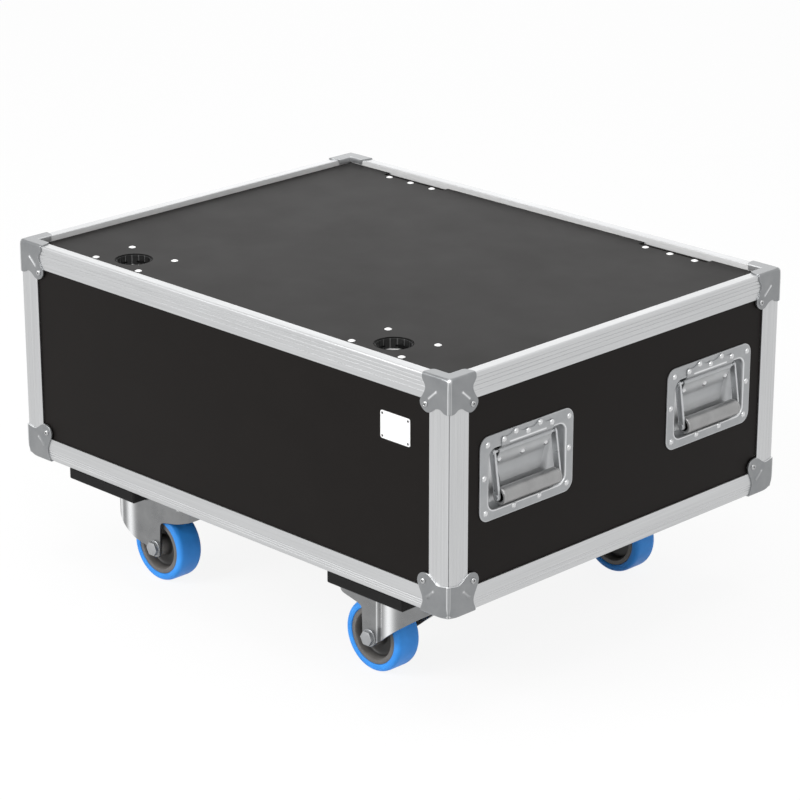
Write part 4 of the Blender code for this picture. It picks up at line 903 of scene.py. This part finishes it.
class ROADCASE_OT_casters(bpy.types.Operator):
    """Makes the four swivel casters: pressed fork, races, axle bolt, hub and tyre"""
    bl_idname = "roadcase.casters"
    bl_label = "Swivel casters"

    def execute(self, context):
        sizes = context.scene.roadcase_casters
        axle = joint_place("wheel_front_right_roll")
        trail = joint_place("caster_front_right_swivel")[0] - axle[0]
        crown = high("caster_fork_front_right")[2] - sizes.race
        # The race's section is in millimetres across and in shares of its height upwards
        section = np.array([(7, 0), (7, 1), (28.6, 1), (30.2, 0.9), (31, 0.75), (31, 0.45), (30, 0.35),
                            (30, 0.2), (31.6, 0.1), (32.4, 0), (32.4, -0.1), (7, -0.1), (7, 0)])
        race = lathe(section * [MM, sizes.race], 64) + [trail, 0, crown]
        nut = lathe(mm((0, 6.8), (8.6, 6.8), (10.6, 5.9), (10.6, 0.8), (0, 0.8)), 6)
        washer = lathe(mm((0, 1.2), (11.0, 1.2), (11.5, 0.8), (11.5, -0.4), (0, -0.4)), 40)
        pin = lathe(mm((0, -26), (6, -26), (6, 26), (0, 26)), 24)
        bolts = [turn_to(pin, (1, 0, 0), (0, 0, 1), (0, 0, axle[2]))]
        for way in (-1, 1):
            end = (0, way * sizes.half_width, axle[2])
            bolts += [turn_to(grid, (1, 0, 0), (0, 0, -way), end) for grid in (nut, washer)]
        r = sizes.wheel / 2 / MM
        tread = [(r - 10.5, 18.6), (r - 9.9, 19.4), (r - 8.6, 19.9), (r - 6.0, 20.0), (r - 4.0, 19.6),
                 (r - 2.2, 18.6), (r - 1.0, 17.0), (r - 0.3, 15.0), (r, 12.5), (r, 6.0)]
        web = [(6.4, 21.6), (7.0, 21.9), (11.6, 21.9), (12.4, 21.4), (12.8, 19.5), (14.2, 8.6), (15.6, 6.2),
               (18.0, 5.4), (25.0, 5.2), (28.6, 5.8), (30.4, 7.6), (31.8, 15.0), (32.4, 17.6), (33.4, 18.8),
               (38.4, 18.8), (39.2, 18.2)]
        seat = [(r - 10.5, 0)]
        wheel = (("tyre", mm(*seat, *mirrored(tread), *seat)), ("hub", mm(*mirrored(web), web[0])))
        for name, sx, _ in CORNERS:
            swivel = "caster_" + name
            place = joint_place(f"wheel_{name}_roll")
            local = partial(turn_to, u=(sx, 0, 0), v=(0, sx, 0), spot=(place[0], place[1], 0))
            half, painted_light_and_trim_share, bore = fork_half(sizes, crown, trail, sx > 0)
            halves = [local(grid * [1, way, 1]) for grid in (half, bore) for way in (1, -1)]
            plain = np.zeros(bore.shape[:2])
            piece("fork_" + name, halves, swivel, "fork", ["caster_fork_" + name], 40,
                  [painted_light_and_trim_share, painted_light_and_trim_share, plain, plain])
            piece("fork_race_" + name, [local(race)], swivel, "fork")
            piece("axle_bolt_" + name, map(local, bolts), swivel, "dish", (), 30)
            for kind, profile in wheel:
                turned = turn_to(lathe(profile, sizes.segments), (1, 0, 0), (0, 0, 1), place)
                # The hub's hollow dish is painted shade: its points carry a share that runs the hub's colour
                # to near black
                painted_shade_dish = (profile[:, 0] > 13.5 * MM) & (profile[:, 0] < 31.2 * MM)
                dark = np.repeat(np.where(painted_shade_dish, 0.85, 0.0), sizes.segments + 1)
                node = f"wheel_{kind}_{name}"
                piece(f"{kind}_{name}", [turned], "wheel_" + name, kind, [node], 40, [dark])
        return {"FINISHED"}


# Rails and boards

class ROADCASE_OT_frame_finish(bpy.types.Operator):
    """Gives the top rails, posts, boards, hinges, blocks and caster plates their procedural finishes"""
    bl_idname = "roadcase.frame_finish"
    bl_label = "Frame finishes"

    def execute(self, context):
        for side, axis in zip(SIDES, "xyxy"):
            paint("top_rail_" + side, "rail_" + axis)
            paint(side + "_panel", "board")
        for name, _, _ in CORNERS:
            paint("corner_post_" + name, "rail_z")
            paint("caster_block_" + name, "block")
            paint("caster_plate_" + name, "fork")
        paint("base_panel", "board")
        paint("hatch_panel", "deck")
        for side in ("left", "right"):
            paint("hatch_leaf_" + side, "deck")
            paint("hinge_leaf_" + side, "deck")
        return {"FINISHED"}


def base_rail_path(sizes, flange, height):
    """Middle line of the base rail's section (inward, height): along the flange, round the edge and up the
    face, where a band of cosine waves sinks the grooves between the crests."""
    turn = np.radians(np.linspace(270, 180, 13))
    inset = sizes.wall / 2
    bend = sizes.edge + (sizes.edge - inset) * np.column_stack([np.cos(turn), np.sin(turn)])
    rise = np.linspace(sizes.edge, height, 160)[1:]
    share = np.clip((rise - sizes.first) / sizes.pitch, -0.5, sizes.crests - 0.5)
    wave = 0.5 * sizes.depth * (1 - np.cos(2 * math.pi * share))
    fade = np.clip((share + 0.5) / 0.5, 0, 1) * np.clip((sizes.crests - 0.5 - share) / 0.5, 0, 1)
    face = np.column_stack([inset + wave * fade, rise])
    return even(np.vstack([[(flange, inset)], bend, face]), 300)


class ROADCASE_OT_base_rails(bpy.types.Operator):
    """Makes the four mitred base rails with their finely grooved faces"""
    bl_idname = "roadcase.base_rails"
    bl_label = "Base rails"

    def execute(self, context):
        sizes = context.scene.roadcase_rails
        seat = 0.3 * MM
        _, flange, height = high("base_rail_front") - low("base_rail_front")
        path = base_rail_path(sizes, flange, height)
        runs = (("x", RAIL_X, (1, 0, 0), (0, 1, 0)), ("y", RAIL_Y, (0, 1, 0), (-1, 0, 0)),
                ("x", RAIL_X, (-1, 0, 0), (0, -1, 0)), ("y", RAIL_Y, (0, -1, 0), (1, 0, 0)))
        for side, (axis, half, u, v) in zip(SIDES, runs):
            node = "base_rail_" + side
            spot = -np.array(v) * [RAIL_X, RAIL_Y, 0] + [0, 0, RAIL_FOOT]
            rail = ribbon(path, half - path[:, 0] - seat, sizes.wall, 2)
            piece("grooved_" + node, [turn_to(rail, u, v, spot)], "case", "rail_" + axis, [node], 30)
        return {"FINISHED"}


class ROADCASE_OT_rim_lining(bpy.types.Operator):
    """Lays the bright lip of the rails along the inner wall of the rim"""
    bl_idname = "roadcase.rim_lining"
    bl_label = "Rim lining"

    def execute(self, context):
        rim, thick, gap, edge = 16.0 * MM, 0.35 * MM, 0.5 * MM, 0.1 * MM
        x, y = RAIL_X - rim, RAIL_Y - rim
        half_height = 0.5 * (RAIL_TOP - DECK) + 3.6 * MM
        middle = RAIL_TOP - 0.4 * MM - half_height
        runs = (("front", x, (-1, 0, 0), (0, -y, middle)), ("back", x, (1, 0, 0), (0, y, middle)),
                ("left", y, (0, 1, 0), (-x, 0, middle)), ("right", y, (0, -1, 0), (x, 0, middle)))
        for name, half, u, spot in runs:
            strip = plate(rounded_ring(half - gap, half_height, edge, 3), (0, 0), 0.0, thick, edge, 3)
            piece("rim_lining_" + name, [turn_to(strip, u, (0, 0, 1), spot)], "case", "rim")
        return {"FINISHED"}


# Stage

def white_to_eyes(tree, quiet):
    """A strength that is 1 for camera, glossy and transmission rays and quiet for all others."""
    path = shader_node(tree, "LightPath").outputs
    total = path["Is Camera Ray"]
    for name in ("Is Glossy Ray", "Is Transmission Ray"):
        total = shader_node(tree, "Math", {0: total, 1: path[name]}, operation="MAXIMUM").outputs[0]
    return shader_node(tree, "MapRange", {"Value": total, "To Min": quiet, "To Max": 1.0}).outputs["Result"]


def white_floor():
    """A pale matte floor, nine tenths of it a white glow to the camera, so that a little shadow is left."""
    made, tree = new_material("white_floor")
    matte = shader_node(tree, "BsdfDiffuse", {"Color": (0.9, 0.9, 0.9, 1.0)}).outputs[0]
    glow = shader_node(tree, "Emission").outputs[0]
    share = shader_node(tree, "Math", {0: white_to_eyes(tree, 0.0), 1: 0.9}, operation="MULTIPLY").outputs[0]
    mixed = shader_node(tree, "MixShader", {0: share, 1: matte, 2: glow}).outputs[0]
    shader_node(tree, "OutputMaterial", {"Surface": mixed})
    return made


def lamp(name, place, target, size, power):
    """A square area lamp that looks at a target."""
    data = bpy.data.lights.new(name, "AREA")
    data.size = size
    data.energy = power
    made = bpy.data.objects.new(name, data)
    bpy.context.scene.collection.objects.link(made)
    made.location = place
    way = np.array(target, float) - np.array(place, float)
    flat = math.hypot(way[0], way[1])
    made.rotation_euler = (math.atan2(flat, -way[2]), 0, math.atan2(way[0], -way[1]) + math.pi)


class ROADCASE_OT_stage(bpy.types.Operator):
    """Sets up the white sky, the floor, the lamps and the camera"""
    bl_idname = "roadcase.stage"
    bl_label = "Stage"

    def execute(self, context):
        scene = context.scene
        settings = scene.roadcase_stage
        scene.view_settings.view_transform = "Standard"
        world = bpy.data.worlds.new("white_sky")
        world.use_nodes = True
        sky = world.node_tree.nodes["Background"]
        sky.inputs["Color"].default_value = (1, 1, 1, 1)
        world.node_tree.links.new(white_to_eyes(world.node_tree, settings.fill), sky.inputs["Strength"])
        scene.world = world
        reach = 30
        mesh = bpy.data.meshes.new("floor")
        mesh.from_pydata([(-reach, -reach, 0), (reach, -reach, 0), (reach, reach, 0), (-reach, reach, 0)], [],
                         [(0, 1, 2, 3)])
        mesh.materials.append(white_floor())
        floor = bpy.data.objects.new("floor", mesh)
        scene.collection.objects.link(floor)
        lamp("key", (-1.2, -4.2, 3.0), (0, 0, 0.3), 2.4, settings.key)
        lamp("top", (0.3, -0.2, 4.0), (0, 0, 0.3), 3.0, 0.4 * settings.key)
        lamp("back", (-2.9, 3.0, 1.75), (0, 0, 0.4), 2.4, 0.08 * settings.key)
        lamp("near", (3.2, -2.6, 3.4), (0, 0, 0.3), 0.9, 0.25 * settings.key)
        data = bpy.data.cameras.new("camera")
        data.lens = settings.lens
        data.sensor_width = 36.0
        camera = bpy.data.objects.new("camera", data)
        scene.collection.objects.link(camera)
        camera.location = (2.8424, -2.8358, 1.7149)
        camera.rotation_euler = (math.radians(70.062), 0.0, math.radians(44.961))
        scene.camera = camera
        return {"FINISHED"}


# Add-on

SETTINGS = (("roadcase_finishes", FinishSettings), ("roadcase_rails", RailSettings),
            ("roadcase_corners", CornerSettings), ("roadcase_handles", HandleSettings),
            ("roadcase_casters", CasterSettings), ("roadcase_hatch", HatchSettings),
            ("roadcase_stage", StageSettings))
OPERATORS = (ROADCASE_OT_frame_finish, ROADCASE_OT_base_rails, ROADCASE_OT_rim_lining, ROADCASE_OT_corners,
             ROADCASE_OT_handles, ROADCASE_OT_grip_holes, ROADCASE_OT_hatch_rivets, ROADCASE_OT_badge,
             ROADCASE_OT_casters, ROADCASE_OT_stage)


class ROADCASE_PT_panel(bpy.types.Panel):
    """Lists the operators that dress the road case"""
    bl_idname = "ROADCASE_PT_panel"
    bl_label = "Road case"
    bl_space_type = "VIEW_3D"
    bl_region_type = "UI"
    bl_category = "Road case"

    def draw(self, context):
        for operator in OPERATORS:
            self.layout.operator(operator.bl_idname)


def register():
    """Registers the settings, the operators and the panel."""
    for name, group in SETTINGS:
        bpy.utils.register_class(group)
        setattr(bpy.types.Scene, name, PointerProperty(type=group))
    for operator in OPERATORS:
        bpy.utils.register_class(operator)
    bpy.utils.register_class(ROADCASE_PT_panel)


def unregister():
    """Removes what register made."""
    bpy.utils.unregister_class(ROADCASE_PT_panel)
    for operator in reversed(OPERATORS):
        bpy.utils.unregister_class(operator)
    for name, group in reversed(SETTINGS):
        delattr(bpy.types.Scene, name)
        bpy.utils.unregister_class(group)


def main():
    """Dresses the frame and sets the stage."""
    register()
    ops = bpy.ops.roadcase
    ops.frame_finish()
    ops.base_rails()
    ops.rim_lining()
    ops.corners()
    ops.handles()
    ops.grip_holes()
    ops.hatch_rivets()
    ops.badge()
    ops.casters()
    ops.stage()


if __name__ == "__main__":
    main()
